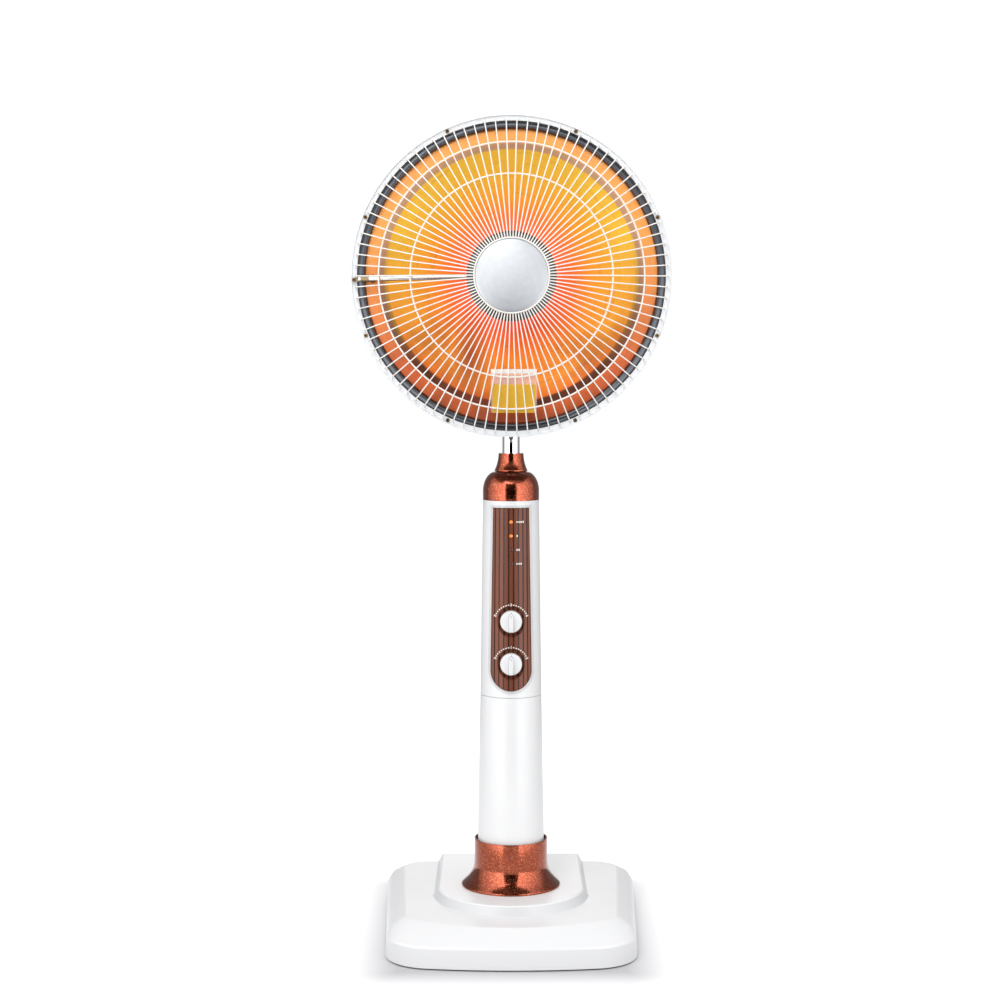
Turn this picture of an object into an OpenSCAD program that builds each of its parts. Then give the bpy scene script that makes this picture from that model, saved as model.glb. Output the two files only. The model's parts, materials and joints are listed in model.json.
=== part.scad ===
// Parabolic heater on a telescopic stand. Millimetres. +Z is up and the dish faces -Y.
// The origin is on the floor, under the axis of the column.

/* [Base] */
// Height of the rubber feet
foot_h = 5; // [3:0.5:8]
// Radius of a rubber foot
foot_r = 12; // [8:1:16]
// Thickness of the steel bottom plate
plate_t = 2; // [1.5:0.5:3]
// Wall of the moulded base cover
base_wall = 2.5; // [2:0.25:3.5]
// Gap between the floor and the edge of the base cover
base_lift = 2; // [1:0.5:4]
// Distance from the column axis to the front of the base
base_front = 212; // [200:1:218]
// Distance from the column axis to the back of the base
base_back = 206; // [192:1:212]
// Width of the base at its front corners
base_front_w = 333; // [325:1:345]
// Width of the base at its back corners
base_back_w = 374; // [360:2:384]
// Height of the upright edge of the base
base_edge_h = 29.5; // [27:0.5:32]
// Height of the plateau that the edge slopes up to
plateau_h = 49; // [46:1:52]
// How far the plateau stays inside the base at the front
plateau_in_front = 34; // [28:1:38]
// How far the plateau stays inside the base at the sides
plateau_in_side = 26; // [22:1:30]
// How far the plateau stays inside the base at the back
plateau_in_back = 30; // [24:1:34]
// Height of the raised platform that carries the column
platform_h = 61.4; // [57:0.2:66]
// Half width of the raised platform, and the radius of its front
platform_r = 101.4; // [94:0.2:106]
// How far the wall of the platform slopes out on its way down
platform_slope = 7; // [5:0.5:12]
// Thickness of the ballast slab
ballast_t = 16; // [10:1:20]
// Width of the ballast slab
ballast_w = 200; // [170:5:205]
// Length of the ballast slab
ballast_l = 250; // [200:5:260]

/* [Column] */
// Outer radius of the fixed steel tube
tube_r = 15; // [14.5:0.25:16]
// Wall of the fixed steel tube
tube_wall = 1.5; // [1:0.1:1.6]
// Outer radius of the lower column at its foot
column_foot_r = 47.9; // [46:0.1:48.4]
// Outer radius of the column at the seam between its lower and upper parts
column_seam_r = 42.75; // [41.5:0.25:44]
// Outer radius of the column at its top
column_top_r = 39.2; // [38.4:0.2:40.4]
// Height of the seam
seam_z = 333.2; // [325:0.2:338]
// Height of the top of the column
column_top_z = 607.2; // [602:0.2:616]
// Wall of the column mouldings
column_wall = 2.5; // [2:0.25:3]
// Radius of the copper base collar
collar_r = 51.4; // [50.8:0.2:54]
// Height of the rim of the base collar
collar_top_z = 128.8; // [120:0.2:140]
// Height where the base collar starts to flare
collar_flare_z = 92; // [86:1:98]
// Radius of the foot of the base collar
collar_foot_r = 69.5; // [64:0.5:74]
// Wall of the base collar
collar_wall = 1.8; // [1.2:0.2:2.2]
// Height of the copper cap above the top of the column
cap_h = 39.9; // [36:0.1:44]

/* [Controls] */
// Height of the top of the ribbed panel
panel_top_z = 597.9; // [590:0.1:600]
// Height of the lowest point of the ribbed panel
panel_bottom_z = 343.2; // [341:0.1:350]
// Half width of the panel at its top
panel_top_half = 24.6; // [22:0.2:26]
// Half width of the panel at its round bottom
panel_low_half = 28.4; // [26:0.2:29.4]
// Width of the white bezel around the panel
bezel_w = 3.4; // [2:0.2:4]
// Number of grooves in the panel
groove_count = 8; // [4:1:8]
// Angle from one groove to the next, in degrees
groove_step = 9.4; // [8:0.1:9.8]
// Width of a groove
groove_w = 1.9; // [1:0.1:2.4]
// Height of the timer knob
timer_z = 440.4; // [438:0.2:448]
// Height of the selector knob
selector_z = 381.2; // [380:0.2:388]
// Radius of both knobs
knob_r = 15.4; // [13:0.2:16.4]
// Depth of a knob's round body
knob_h = 10.5; // [8:0.5:14]
// Height of the grip on a knob
grip_h = 6.5; // [4:0.5:9]
// Radius of the floor of the round dish behind each knob
dial_dish_r = 18.2; // [17.5:0.1:19]
// How far the sloping side of that dish reaches outwards
dial_slope_w = 4.2; // [2:0.2:5]
// Radius of a control shaft
control_shaft_r = 3; // [2.5:0.1:3.5]
// Radius of an indicator lamp
lamp_r = 2.4; // [1.8:0.1:2.8]
// Height of the topmost indicator lamp
lamp_top_z = 578.6; // [574:0.2:584]
// Distance from one indicator lamp to the next
lamp_pitch = 19.3; // [16:0.1:20]

/* [Pole and neck] */
// Outer radius of the chrome pole
pole_r = 12; // [11:0.1:12.2]
// Wall of the chrome pole
pole_wall = 1.2; // [0.8:0.1:1.6]
// How far the pole rises
pole_travel = 200; // [120:5:210]
// Height of the lower end of the pole
pole_foot_z = 330.3; // [320:0.1:345]
// Height of the lock collar
lock_h = 24.9; // [22:0.1:28]
// Radius of the lock collar at its foot
lock_foot_r = 23; // [21:0.25:25]
// Radius of the lock collar at its top
lock_top_r = 17.4; // [17.2:0.2:19]
// Radius of the swing housing
swing_r = 30; // [28:0.5:34]
// Height of the swing housing
swing_h = 46; // [44:1:54]

/* [Head] */
// Height of the centre of the dish
head_z = 912.6; // [900:0.2:930]
// Height of the tilt axis
tilt_z = 838; // [832:1:842]
// Distance from the column axis forward to the bottom of the dish
dish_apex = 25; // [24:0.5:28]
// Focal length of the dish
dish_focal = 116; // [112:1:124]
// Width of the flat lip, from its start to the outside of the rim band
lip_w_out = 36.4; // [34:0.2:38]
// Width of the step between the bowl and the lip
lip_step_w = 11; // [8:0.5:14]
// Height of the step between the bowl and the lip
lip_step = 9.9; // [8:0.1:12]
// Thickness of the dish's sheet
sheet_t = 1.2; // [0.8:0.1:1.6]
// Outer radius of the rim band
rim_r = 214.4; // [205:0.2:220]
// Distance from the outside of the rim band in to the bead's centre line
bead_in = 13.9; // [13.8:0.1:16]
// Radius of the bead's section
bead_r = 5.4; // [4.4:0.1:5.6]
// Number of screws in the rim band
rim_screw_count = 8; // [4:1:8]
// Radius of the element's chrome shield
shield_r = 60; // [54:0.5:64]
// Radius of the support rod
rod_r = 4; // [3:0.1:4.2]
// Radius of the rear cover
rear_cover_r = 80; // [74:1:86]

/* [Guard] */
// Number of radial wires
wire_count = 90; // [30:15:90]
// Diameter of a radial wire
wire_d = 1.7; // [1.5:0.1:2.2]
// Radius of the sphere that the front of the guard follows
dome_r = 900; // [800:10:1000]
// Distance from the dish's flat lip forward to the top of the guard's dome
dome_top = 47; // [45:0.5:55]
// Distance from the outside of the rim band in to the ends of the wires
wire_end_in = 5.9; // [5.4:0.1:6.2]
// Radius of the bend at the outer end of each wire
wire_bend_r = 7; // [5:0.5:8]
// Radius of the inner ring
inner_ring_r = 134.5; // [110:0.5:150]
// Radius of the middle ring
middle_ring_r = 177; // [170:0.5:182]
// Diameter of the wire of both rings
ring_d = 2.2; // [2:0.1:3]
// Radius of the hub disc
hub_disc_r = 48.1; // [40:0.1:52]
// Width of the bare plate
tag_w = 57; // [40:1:64]
// Height of the bare plate
tag_h = 38.5; // [30:0.5:42]

/* [Hidden] */

// Clearances
seat_gap = 0.3;   // between pieces that rest against each other on curved faces
fit_gap = 0.05;   // radial, around a piece that is held
run_gap = 0.1;    // radial, around a piece that turns or slides
weld_gap = 0.1;   // between wires that are welded on the real guard
through = 60;     // length of a cut that goes right through

// Surface finishes
white_gloss = [0.93, 0.94, 0.94];
copper = [0.55, 0.25, 0.16];
chrome = [0.78, 0.79, 0.81];
steel = [0.62, 0.63, 0.65];
dark_steel = [0.3, 0.31, 0.33];
rubber = [0.09, 0.09, 0.1];
black_plastic = [0.13, 0.13, 0.14];
brown = [0.3, 0.17, 0.12];
brass = [0.72, 0.58, 0.3];
gold = [0.95, 0.62, 0.25];
ceramic = [0.9, 0.87, 0.8];

// Base
plate_z = foot_h + plate_t;
plateau_front = base_front - plateau_in_front;
plateau_back = base_back - plateau_in_back;
platform_arc_y = -15;
base_corner_r = 66;
plateau_corner_r = 36;
base_bow_r = 760;
plateau_bow_r = 235;
boss_r = 5;
slice = 0.01;
screw_bite = 12;
boss_x = 112;
boss_y = 134;
pilot_r = 1.5;
feet_x = 128;
foot_stem_r = 4;
foot_stem_head = 1.5;
foot_head_h = 2;
feet_y = 148;
socket_r = 46;
socket_t = 5;
socket_hub_r = 21;
socket_bolt_pcd = 70;
socket_bolt_r = 3;
bolt_head_r = 5;
bolt_head_h = 3.2;
bolt_nut_r = 6;
bolt_nut_h = 4.6;
tip_switch_at = [-70, -60];
tip_switch_size = [28, 18, 15];
tip_button_r = 5;
tip_button_h = 2.5;
tube_z = plate_z + socket_t;
gland_r = 7.5;
gland_x = 60;
gland_z = 15.5;
gland_bore_r = 3.75;
gland_len = 26;
gland_lip = 6;

// Column
function column_r(z) = z > seam_z
    ? column_seam_r + (column_top_r - column_seam_r) * (z - seam_z) / (column_top_z - seam_z)
    : column_foot_r + (column_seam_r - column_foot_r) * (z - platform_h) / (seam_z - platform_h);
seam_gap = 0.8;
spigot_h = 8;
spigot_wall = 2;
housing_foot_z = seam_z + seam_gap;
tube_bore_r = tube_r - tube_wall;
cap_top_z = column_top_z + cap_h;
tube_top_z = cap_top_z - 7.1;
cap_wall = 2.2;
cap_steps = 12;
flare_steps = 10;
flare_power = 1.75;
collar_foot_t = 2.2;
cap_straight_h = 12.8;
cap_curve_r = 20;
cap_skirt_h = 7.2;
cap_hole_r = tube_r + 0.7;

// Controls
panel_arc_z = panel_bottom_z + panel_low_half;
panel_t = 2.4;
panel_proud = 0.3;
bezel_proud = 1.2;
groove_depth = 0.9;
dish_drop = 5.2;
dish_back = dish_drop + 2.2;
knob_clear = 0.6;
control_w = 32;
control_h = 38;
control_back_y = -(tube_r + 1.5);
control_bush_r = control_shaft_r + 1.6;
shaft_in = 10;
shaft_well = 1;
lamp_count = 4;
lit_lamps = 2;
lamp_proud = 0.7;
lamp_board_y = -28;
lamp_board_t = 1.6;
housing_screw_x = 31;
housing_screw_z = [362, 578];
housing_boss_r = 4;
housing_boss_y = 22;
housing_screw_head_y = 12;
housing_screw_bite = 13;
housing_screw_head = [3, 2.4];
head_hole_r = 3.3;

// Pole and neck
pole_bore_r = pole_r - pole_wall;
stop_h = 10;
pole_stop_at = 59.4;
bush_foot_z = pole_foot_z + pole_stop_at + stop_h + pole_travel + seat_gap;
bush_flange_h = 3.4;
bush_flange_r = tube_r + 2;
collet_r = tube_r - 0.8;
lock_foot_z = cap_top_z + seat_gap;
lock_top_z = lock_foot_z + lock_h;
lock_lip_h = 3.3;
collet_top_z = lock_top_z - lock_lip_h - 2;
collet_slot_w = 1.2;
stop_pin_r = 2.5;
yoke_foot_z = tilt_z - 25;
yoke_t = 5;
yoke_r = 26;
ear_r = 12;
ear_t = 5;
tongue_half = 12.5;
tilt_pin_r = 4;
swing_wall = 2.5;
swing_floor_t = 3;
swing_cone_h = 6;
swing_boss_r = pole_r + 4;
swing_boss_h = 16.5;
swing_boss_web = 1.5;
swing_lid_t = 3.5;
swing_lid_skirt = 3;
swing_top_z = yoke_foot_z - seat_gap;
swing_foot_z = swing_top_z - swing_h;
pole_top_z = swing_foot_z + swing_boss_h - swing_boss_web - seat_gap;
swing_shaft_r = 5;
motor_h = 18;
motor_r = swing_r - swing_wall - 3;
motor_neck_r = 6;
motor_neck_h = 2;
motor_foot_z = swing_foot_z + swing_boss_h + seat_gap;
swing_shaft_foot_z = motor_foot_z + motor_h + motor_neck_h + seat_gap;

// Head. Its pieces are drawn with the axis of the dish along +Z, then turned to face -Y.
function dish_w(r) = dish_apex + r * r / (4 * dish_focal);
function dome_at(r, in = 0) = let (a = asin(r / dome_r))
    [(dome_r - in) * sin(a), lip_w + dome_top - dome_r + (dome_r - in) * cos(a)];
bowl_steps = 20;
lip_r = rim_r - lip_w_out;
bowl_r = lip_r - lip_step_w;
lip_w = dish_w(bowl_r) + lip_step;
bead_ring_r = rim_r - bead_in;
wire_end_r = rim_r - wire_end_in;
flange_r = rim_r - 1.7;
rim_flange_lift = 6.2;
rim_depth = 17;
rim_edge_h = 3;
rim_wall = 1.4;
rim_flange_w = lip_w + rim_flange_lift;
rim_flange_t = 1.5;
rim_front_w = rim_flange_w + rim_flange_t;
rim_inner_r = bead_ring_r + bead_r + 0.4;
rim_back_w = rim_front_w - rim_depth;
rim_lip_w = rim_front_w + rim_edge_h;
bead_w = lip_w + seat_gap + bead_r;
bead_wall = 1;
rim_screw_r = rim_r - 4.4;
rim_nut_h = 2.2;
rim_nut_r = 3.1;
rim_head_r = 2.6;
rim_head_h = 2;
rim_screw_spare = 1;
rim_shank_r = 1.6;
rod_w = bead_w + bead_r + 0.4 + rod_r;
rod_wall = 1;
rod_slope = 0.8;
fitting_len = 11;
fitting_r = rod_r + 0.9;
fitting_end_r = rim_screw_r - 9;
fitting_start_r = fitting_end_r - fitting_len;
fitting_tab_in = 4;
fitting_tab_wide = 5.2;
rod_end_r = fitting_end_r + 3;
rod_start_r = shield_r - 4;
fitting_tab_w = bead_w + bead_r + 0.4;
fitting_tab_t = 1.6;
rod_screw_angle = 181.25;
shield_front_w = rod_w + 13.4;
shield_h = 18;
shield_wall = 1.2;
wire_r = wire_d / 2;
ring_r = ring_d / 2;
wire_stop_a = asin((wire_end_r - wire_bend_r) / (dome_r - wire_bend_r));
wire_bend_w = dome_at(dome_r * sin(wire_stop_a), wire_bend_r)[1];
hub_ring_tube_r = 1.2;
hub_ring_r = hub_disc_r + seat_gap + hub_ring_tube_r;
wire_start_a = asin((hub_ring_r + hub_ring_tube_r + weld_gap) / dome_r);
hub_ring_w = dome_at(hub_ring_r)[1];
tag_r = middle_ring_r - 13.5;
tag_x = 3;
tag_sag = (pow(tag_w / 2 + tag_x, 2) + pow(tag_h / 2, 2)) / (2 * dome_r);
tag_t = 0.8;
cover_back_w = 16;
vent_count = 5;
vent_l = 52;
vent_w = 2.6;
vent_at = 31;
vent_pitch = 6;
block_at = 44;
block_size = [40, 18, 7];
block_hole_pitch = 12;
block_hole_r = 2.6;
cover_wall = 2.2;
cover_rim_w = dish_w(rear_cover_r - cover_wall) - sheet_t - seat_gap;
bracket_t = 4;
bracket_w = cover_back_w - seat_gap;
bracket_half = 28;
bracket_rib_h = 60;
head_screw_at = 20;
head_screw_r = 2;
screw_seat_w = dish_w(norm([head_screw_at, head_screw_at]) + 4);
core_r = 26;
core_tip_r = 18;
core_len = 53;
core_base_r = 38;
core_base_t = 7;
core_w = shield_front_w - shield_wall - seat_gap;
coil_turns = 7;
coil_steps = 24;
coil_sides = 6;
coil_wire_r = 2.4;
coil_start_w = core_w - core_base_t - 4.5;
coil_pitch = 6.1;
lead_r = 2.4;
lead_r_at = lip_r + 8;
lead_turn_w = lip_w - 6;
lead_in = [70, 20];
lead_turn = [lead_r_at, lead_turn_w];

// ---------- helpers ----------
module in_head() translate([0, 0, head_z]) rotate([90, 0, 0]) children();

module revolve() rotate_extrude($fn = 96) children();

module tube(r_out, r_in, h) difference() {
    cylinder(r = r_out, h = h, $fn = 72);
    translate([0, 0, -1]) cylinder(r = r_in, h = h + 2, $fn = 72);
}

// Turns a piece drawn along +Z so that it points to the front, at the given height
module to_front(z) translate([0, 0, z]) rotate([90, 0, 0]) children();

module countersunk(r, len, head_r = 3.4, head_h = 2.2) {
    cylinder(r = r, h = len, $fn = 24);
    translate([0, 0, -head_h]) cylinder(r = head_r, h = head_h, $fn = 24);
}

// ---------- base ----------
module four_corners(x, y) for (sx = [-1, 1], sy = [-1, 1]) translate([sx * x, sy * y, 0]) children();

module plan(front, back, front_w, back_w, bow, corner) offset(r = corner, $fn = 64)
    offset(delta = -corner) intersection() {
        polygon([[-front_w / 2, -front], [front_w / 2, -front], [back_w / 2, back],
            [-back_w / 2, back]]);
        translate([0, bow - front]) circle(r = bow, $fn = 240);
    }

module base_plan(in = 0) plan(base_front - in, base_back - in, base_front_w - 2 * in,
    base_back_w - 2 * in, base_bow_r, base_corner_r - in);

module plateau_plan(in = 0) plan(plateau_front - in, plateau_back - in,
    base_front_w - 2 * (plateau_in_side + in), base_back_w - 2 * (plateau_in_side + in),
    plateau_bow_r, plateau_corner_r - in);

module platform_plan(in) hull() {
    translate([0, platform_arc_y]) circle(r = platform_r - in, $fn = 64);
    translate([in - platform_r, 0]) square([2 * (platform_r - in), plateau_back - max(in, 0) - 2]);
}

module slab(z, t = slice) translate([0, 0, z]) linear_extrude(t) children();

module base_form(in, foot) {
    hull() {
        slab(foot) base_plan(in);
        slab(base_edge_h - in / 2) base_plan(in + 1.5);
        slab(plateau_h - in - slice) plateau_plan(in);
    }
    hull() {
        slab(plateau_h - in - 0.5) platform_plan(in - platform_slope);
        slab(platform_h - in - slice) platform_plan(in);
    }
}

module base_cover() color(white_gloss) difference() {
    union() {
        difference() {
            base_form(0, base_lift);
            base_form(base_wall, base_lift - 1);
        }
        four_corners(boss_x, boss_y) translate([0, 0, plate_z + seat_gap])
            cylinder(r = boss_r, h = plateau_h - base_wall - plate_z, $fn = 32);
    }
    translate([0, 0, plateau_h - base_wall - 1]) cylinder(r = socket_r, h = through, $fn = 72);
    four_corners(boss_x, boss_y) cylinder(r = pilot_r, h = plate_z + screw_bite + 4, $fn = 24);
    translate([gland_x, base_back + 5, gland_z]) rotate([90, 0, 0])
        cylinder(r = gland_r + fit_gap, h = gland_len, $fn = 48);
}

module base_plate() color(steel) difference() {
    slab(foot_h, plate_t) base_plan(base_wall + 2);
    four_corners(boss_x, boss_y) cylinder(r = pilot_r + 0.5, h = through, $fn = 24);
    four_corners(feet_x, feet_y) cylinder(r = foot_stem_r + fit_gap, h = through, $fn = 32);
    socket_bolt_places() cylinder(r = socket_bolt_r + run_gap, h = through, $fn = 32);
}

module rubber_feet() color(rubber) four_corners(feet_x, feet_y) {
    cylinder(r1 = foot_r, r2 = foot_r - 1, h = foot_h, $fn = 48);
    cylinder(r = foot_stem_r, h = plate_z + 1, $fn = 32);
    translate([0, 0, plate_z + seat_gap])
        cylinder(r = foot_stem_r + foot_stem_head, h = foot_head_h, $fn = 32);
}

module base_screws() color(dark_steel) four_corners(boss_x, boss_y) translate([0, 0, foot_h])
    countersunk(pilot_r - fit_gap, plate_t + screw_bite);

module ballast() color(dark_steel) translate([0, 0, plate_z + seat_gap]) difference() {
    linear_extrude(ballast_t) square([ballast_w, ballast_l], center = true);
    translate([0, 0, -1]) cylinder(r = socket_r + 3, h = ballast_t + 2, $fn = 72);
}

module socket_bolt_places() for (a = [45:90:315]) rotate(a) translate([socket_bolt_pcd / 2, 0, 0])
    children();

module stand_socket() color(dark_steel) translate([0, 0, plate_z]) difference() {
    union() {
        cylinder(r = socket_r, h = socket_t, $fn = 72);
        cylinder(r = socket_hub_r, h = platform_h - plate_z - 6, $fn = 72);
    }
    translate([0, 0, socket_t - seat_gap]) cylinder(r = tube_r + fit_gap, h = through, $fn = 72);
    translate([0, 0, -1]) socket_bolt_places()
        cylinder(r = socket_bolt_r + run_gap, h = through, $fn = 32);
}

module socket_bolts() color(steel) socket_bolt_places() translate([0, 0, foot_h]) {
    cylinder(r = socket_bolt_r, h = plate_t + socket_t + bolt_nut_h + 2.4, $fn = 32);
    translate([0, 0, -bolt_head_h]) cylinder(r = bolt_head_r, h = bolt_head_h, $fn = 6);
    translate([0, 0, plate_t + socket_t]) difference() {
        cylinder(r = bolt_nut_r, h = bolt_nut_h, $fn = 6);
        translate([0, 0, -1]) cylinder(r = socket_bolt_r + fit_gap, h = bolt_nut_h + 2, $fn = 32);
    }
}

module tip_switch() color(black_plastic)
    translate([tip_switch_at[0], tip_switch_at[1], plate_z + seat_gap + ballast_t]) {
        translate([-tip_switch_size[0] / 2, -tip_switch_size[1] / 2, 0]) cube(tip_switch_size);
        translate([0, 0, tip_switch_size[2]]) cylinder(r = tip_button_r, h = tip_button_h, $fn = 32);
    }

module cord_gland() color(black_plastic) translate([gland_x, base_back + gland_lip, gland_z])
    rotate([90, 0, 0]) difference() {
        union() {
            cylinder(r1 = gland_r + 1, r2 = gland_r + 2.5, h = gland_lip - seat_gap, $fn = 48);
            cylinder(r = gland_r, h = gland_len, $fn = 48);
        }
        translate([0, 0, -1]) cylinder(r = gland_bore_r, h = gland_len + 2, $fn = 48);
    }

// ---------- column ----------
module stand_tube() color(steel) difference() {
    translate([0, 0, tube_z]) tube(tube_r, tube_bore_r, tube_top_z - tube_z);
    stop_pin_place() cylinder(r = stop_pin_r + fit_gap, h = through, center = true, $fn = 32);
}

module stop_pin_place() translate([0, 0, pole_foot_z - seat_gap - stop_pin_r]) rotate([0, 90, 0])
    children();

module stop_pin() color(steel) stop_pin_place()
    cylinder(r = stop_pin_r, h = 2 * tube_r + 3, center = true, $fn = 32);

function flare(t) = let (low_z = platform_h + collar_foot_t)
    [collar_r + (collar_foot_r - collar_r) * pow(t, flare_power),
        collar_flare_z + (low_z - collar_flare_z) * t];

module base_collar() color(copper) revolve() polygon(concat(
    [[collar_r - collar_wall, collar_top_z], [collar_r, collar_top_z]],
    [for (i = [0:flare_steps]) flare(i / flare_steps)],
    [[collar_foot_r, platform_h], [collar_foot_r - collar_wall, platform_h]],
    [for (i = [flare_steps:-1:0]) flare(i / flare_steps) - [collar_wall, collar_foot_t * i / flare_steps]]));

module lower_column() color(white_gloss) revolve() polygon([
    [column_foot_r, platform_h], [column_seam_r, seam_z],
    [column_seam_r - column_wall - seat_gap, seam_z],
    [column_seam_r - column_wall - seat_gap, seam_z + spigot_h],
    [column_seam_r - column_wall - seat_gap - spigot_wall, seam_z + spigot_h],
    [column_seam_r - column_wall - seat_gap - spigot_wall, seam_z - 4],
    [column_seam_r - column_wall, seam_z - 6],
    [column_foot_r - column_wall, platform_h]]);

module housing_solid(in) translate([0, 0, housing_foot_z])
    cylinder(r1 = column_r(housing_foot_z) - in, r2 = column_top_r - in,
        h = column_top_z - housing_foot_z, $fn = 96);

module panel_outline(grow) hull() {
    translate([-panel_top_half - grow, panel_top_z + grow - 1]) square([2 * (panel_top_half + grow), 1]);
    translate([0, panel_arc_z]) circle(r = panel_low_half + grow, $fn = 96);
}

// A bar along the front half of the column with the panel's outline
module panel_bar(grow) rotate([90, 0, 0]) linear_extrude(column_seam_r + 10) panel_outline(grow);

module housing_bosses(side) intersection() {
    housing_solid(0.5);
    for (sx = [-1, 1], z = housing_screw_z) translate([sx * housing_screw_x, 0, z])
        rotate([-90 * side, 0, 0]) cylinder(r = housing_boss_r, h = housing_boss_y, $fn = 32);
}

module half_space(side) translate([-through, side > 0 ? 0 : -through, seam_z - 1])
    cube([2 * through, through, column_top_z - seam_z + 2]);

module housing_half(side) {
    intersection() {
        difference() {
            housing_solid(0);
            translate([0, 0, -1]) housing_solid(column_wall);
            translate([0, 0, 1]) housing_solid(column_wall);
        }
        half_space(side);
    }
    housing_bosses(side);
}

module housing_front() color(white_gloss) difference() {
    housing_half(-1);
    panel_bar(seat_gap);
    for (sx = [-1, 1], z = housing_screw_z) translate([sx * housing_screw_x, 1, z])
        rotate([90, 0, 0]) cylinder(r = pilot_r + fit_gap, h = housing_screw_bite + 3, $fn = 24);
}

module housing_back() color(white_gloss) difference() {
    housing_half(1);
    for (sx = [-1, 1], z = housing_screw_z) translate([sx * housing_screw_x, 0, z]) {
        rotate([-90, 0, 0]) translate([0, 0, -1])
            cylinder(r = pilot_r + 0.3, h = housing_boss_y + 8, $fn = 24);
        translate([0, housing_screw_head_y, 0]) rotate([-90, 0, 0])
            cylinder(r = head_hole_r, h = column_seam_r, $fn = 32);
    }
}

module housing_screws() color(dark_steel)
    for (sx = [-1, 1], z = housing_screw_z) translate([sx * housing_screw_x, housing_screw_head_y, z])
        rotate([90, 0, 0]) countersunk(pilot_r, housing_screw_head_y + housing_screw_bite,
            housing_screw_head[0], housing_screw_head[1]);

// ---------- controls ----------
module panel_bezel() color(white_gloss) intersection() {
    difference() {
        housing_solid(-bezel_proud);
        translate([0, 0, -1]) housing_solid(-seat_gap);
        translate([0, 0, 1]) housing_solid(-seat_gap);
    }
    difference() {
        panel_bar(bezel_w);
        translate([0, 1, 0]) panel_bar(seat_gap);
    }
}

module control_panel() color(brown) difference() {
    union() {
        intersection() {
            difference() {
                housing_solid(-panel_proud);
                translate([0, 0, -1]) housing_solid(panel_t);
                translate([0, 0, 1]) housing_solid(panel_t);
            }
            panel_bar(0);
        }
        intersection() {
            housing_solid(-panel_proud);
            for (z = [timer_z, selector_z]) to_front(z) translate([0, 0, column_r(z) - dish_back])
                cylinder(r = dial_dish_r + dial_slope_w + 1.6, h = through, $fn = 64);
        }
    }
    for (z = [timer_z, selector_z]) to_front(z) {
        translate([0, 0, column_r(z) - dish_drop])
            cylinder(r1 = dial_dish_r, r2 = dial_dish_r + 2 * dial_slope_w, h = 2 * dish_drop, $fn = 64);
        cylinder(r = control_shaft_r + 0.5, h = through, $fn = 32);
    }
    panel_grooves();
    for (i = [0:lamp_count - 1]) to_front(lamp_top_z - i * lamp_pitch)
        cylinder(r = lamp_r + run_gap, h = through, $fn = 32);
}

module panel_grooves() {
    slope = atan((column_seam_r - column_top_r) / (column_top_z - seam_z));
    mid_z = (panel_top_z + panel_bottom_z) / 2;
    for (i = [0:groove_count - 1]) rotate((i - (groove_count - 1) / 2) * groove_step)
        translate([0, -column_r(mid_z) - panel_proud, mid_z]) rotate([-slope, 0, 0])
            cube([groove_w, 2 * groove_depth, panel_top_z - panel_bottom_z + 20], center = true);
}

module lamp(i) {
    z = lamp_top_z - i * lamp_pitch;
    back = -lamp_board_y + seat_gap;
    to_front(z) translate([0, 0, back])
        cylinder(r = lamp_r, h = column_r(z) + lamp_proud - back, $fn = 32);
}

module lamps_lit() color([1, 0.62, 0.15]) for (i = [0:lit_lamps - 1]) lamp(i);

module lamps_unlit() color([0.85, 0.75, 0.65]) for (i = [lit_lamps:lamp_count - 1]) lamp(i);

module lamp_board() color([0.1, 0.32, 0.2]) {
    low = lamp_top_z - (lamp_count - 1) * lamp_pitch - 8;
    translate([-11, lamp_board_y, low]) cube([22, lamp_board_t, lamp_top_z + 8 - low]);
}

module control_body(z) {
    front = column_r(z) - dish_back - seat_gap;
    difference() {
        union() {
            to_front(z) translate([-control_w / 2, -control_h / 2, -control_back_y])
                cube([control_w, control_h, front + control_back_y]);
        }
        to_front(z) translate([0, 0, front - shaft_in])
            cylinder(r = control_shaft_r + run_gap, h = through, $fn = 32);
    }
}

module control_shaft(z) to_front(z) translate([0, 0, column_r(z) - dish_back - shaft_in])
    cylinder(r = control_shaft_r, h = shaft_in + dish_back - dish_drop + knob_clear + knob_h
        - shaft_well - seat_gap, $fn = 32);

module knob(z) to_front(z) translate([0, 0, column_r(z) - dish_drop + knob_clear])
    difference() {
        union() {
            cylinder(r1 = knob_r, r2 = knob_r - 0.7, h = knob_h, $fn = 64);
            linear_extrude(knob_h + grip_h) polygon([[-0.24, -0.9], [0.24, -0.9], [0.24, 0.58],
                [0, 0.93], [-0.24, 0.58]] * knob_r);
        }
        translate([0, 0, -shaft_well]) cylinder(r = control_shaft_r + fit_gap, h = knob_h, $fn = 32);
    }

module timer_body() color(black_plastic) control_body(timer_z);
module timer_shaft() color(steel) control_shaft(timer_z);
module timer_knob() color(white_gloss) knob(timer_z);
module selector_body() color(black_plastic) control_body(selector_z);
module selector_shaft() color(steel) control_shaft(selector_z);
module selector_knob() color(white_gloss) knob(selector_z);

// ---------- cap, neck and pole ----------
function cap_curve(in, top) = let (rise = cap_h - cap_straight_h)
    [for (i = [0:cap_steps]) let (t = asin(top) * i / cap_steps)
        [cap_curve_r + (column_top_r - cap_curve_r - in) * cos(t),
            column_top_z + cap_straight_h + (rise - in) * sin(t)]];

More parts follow.
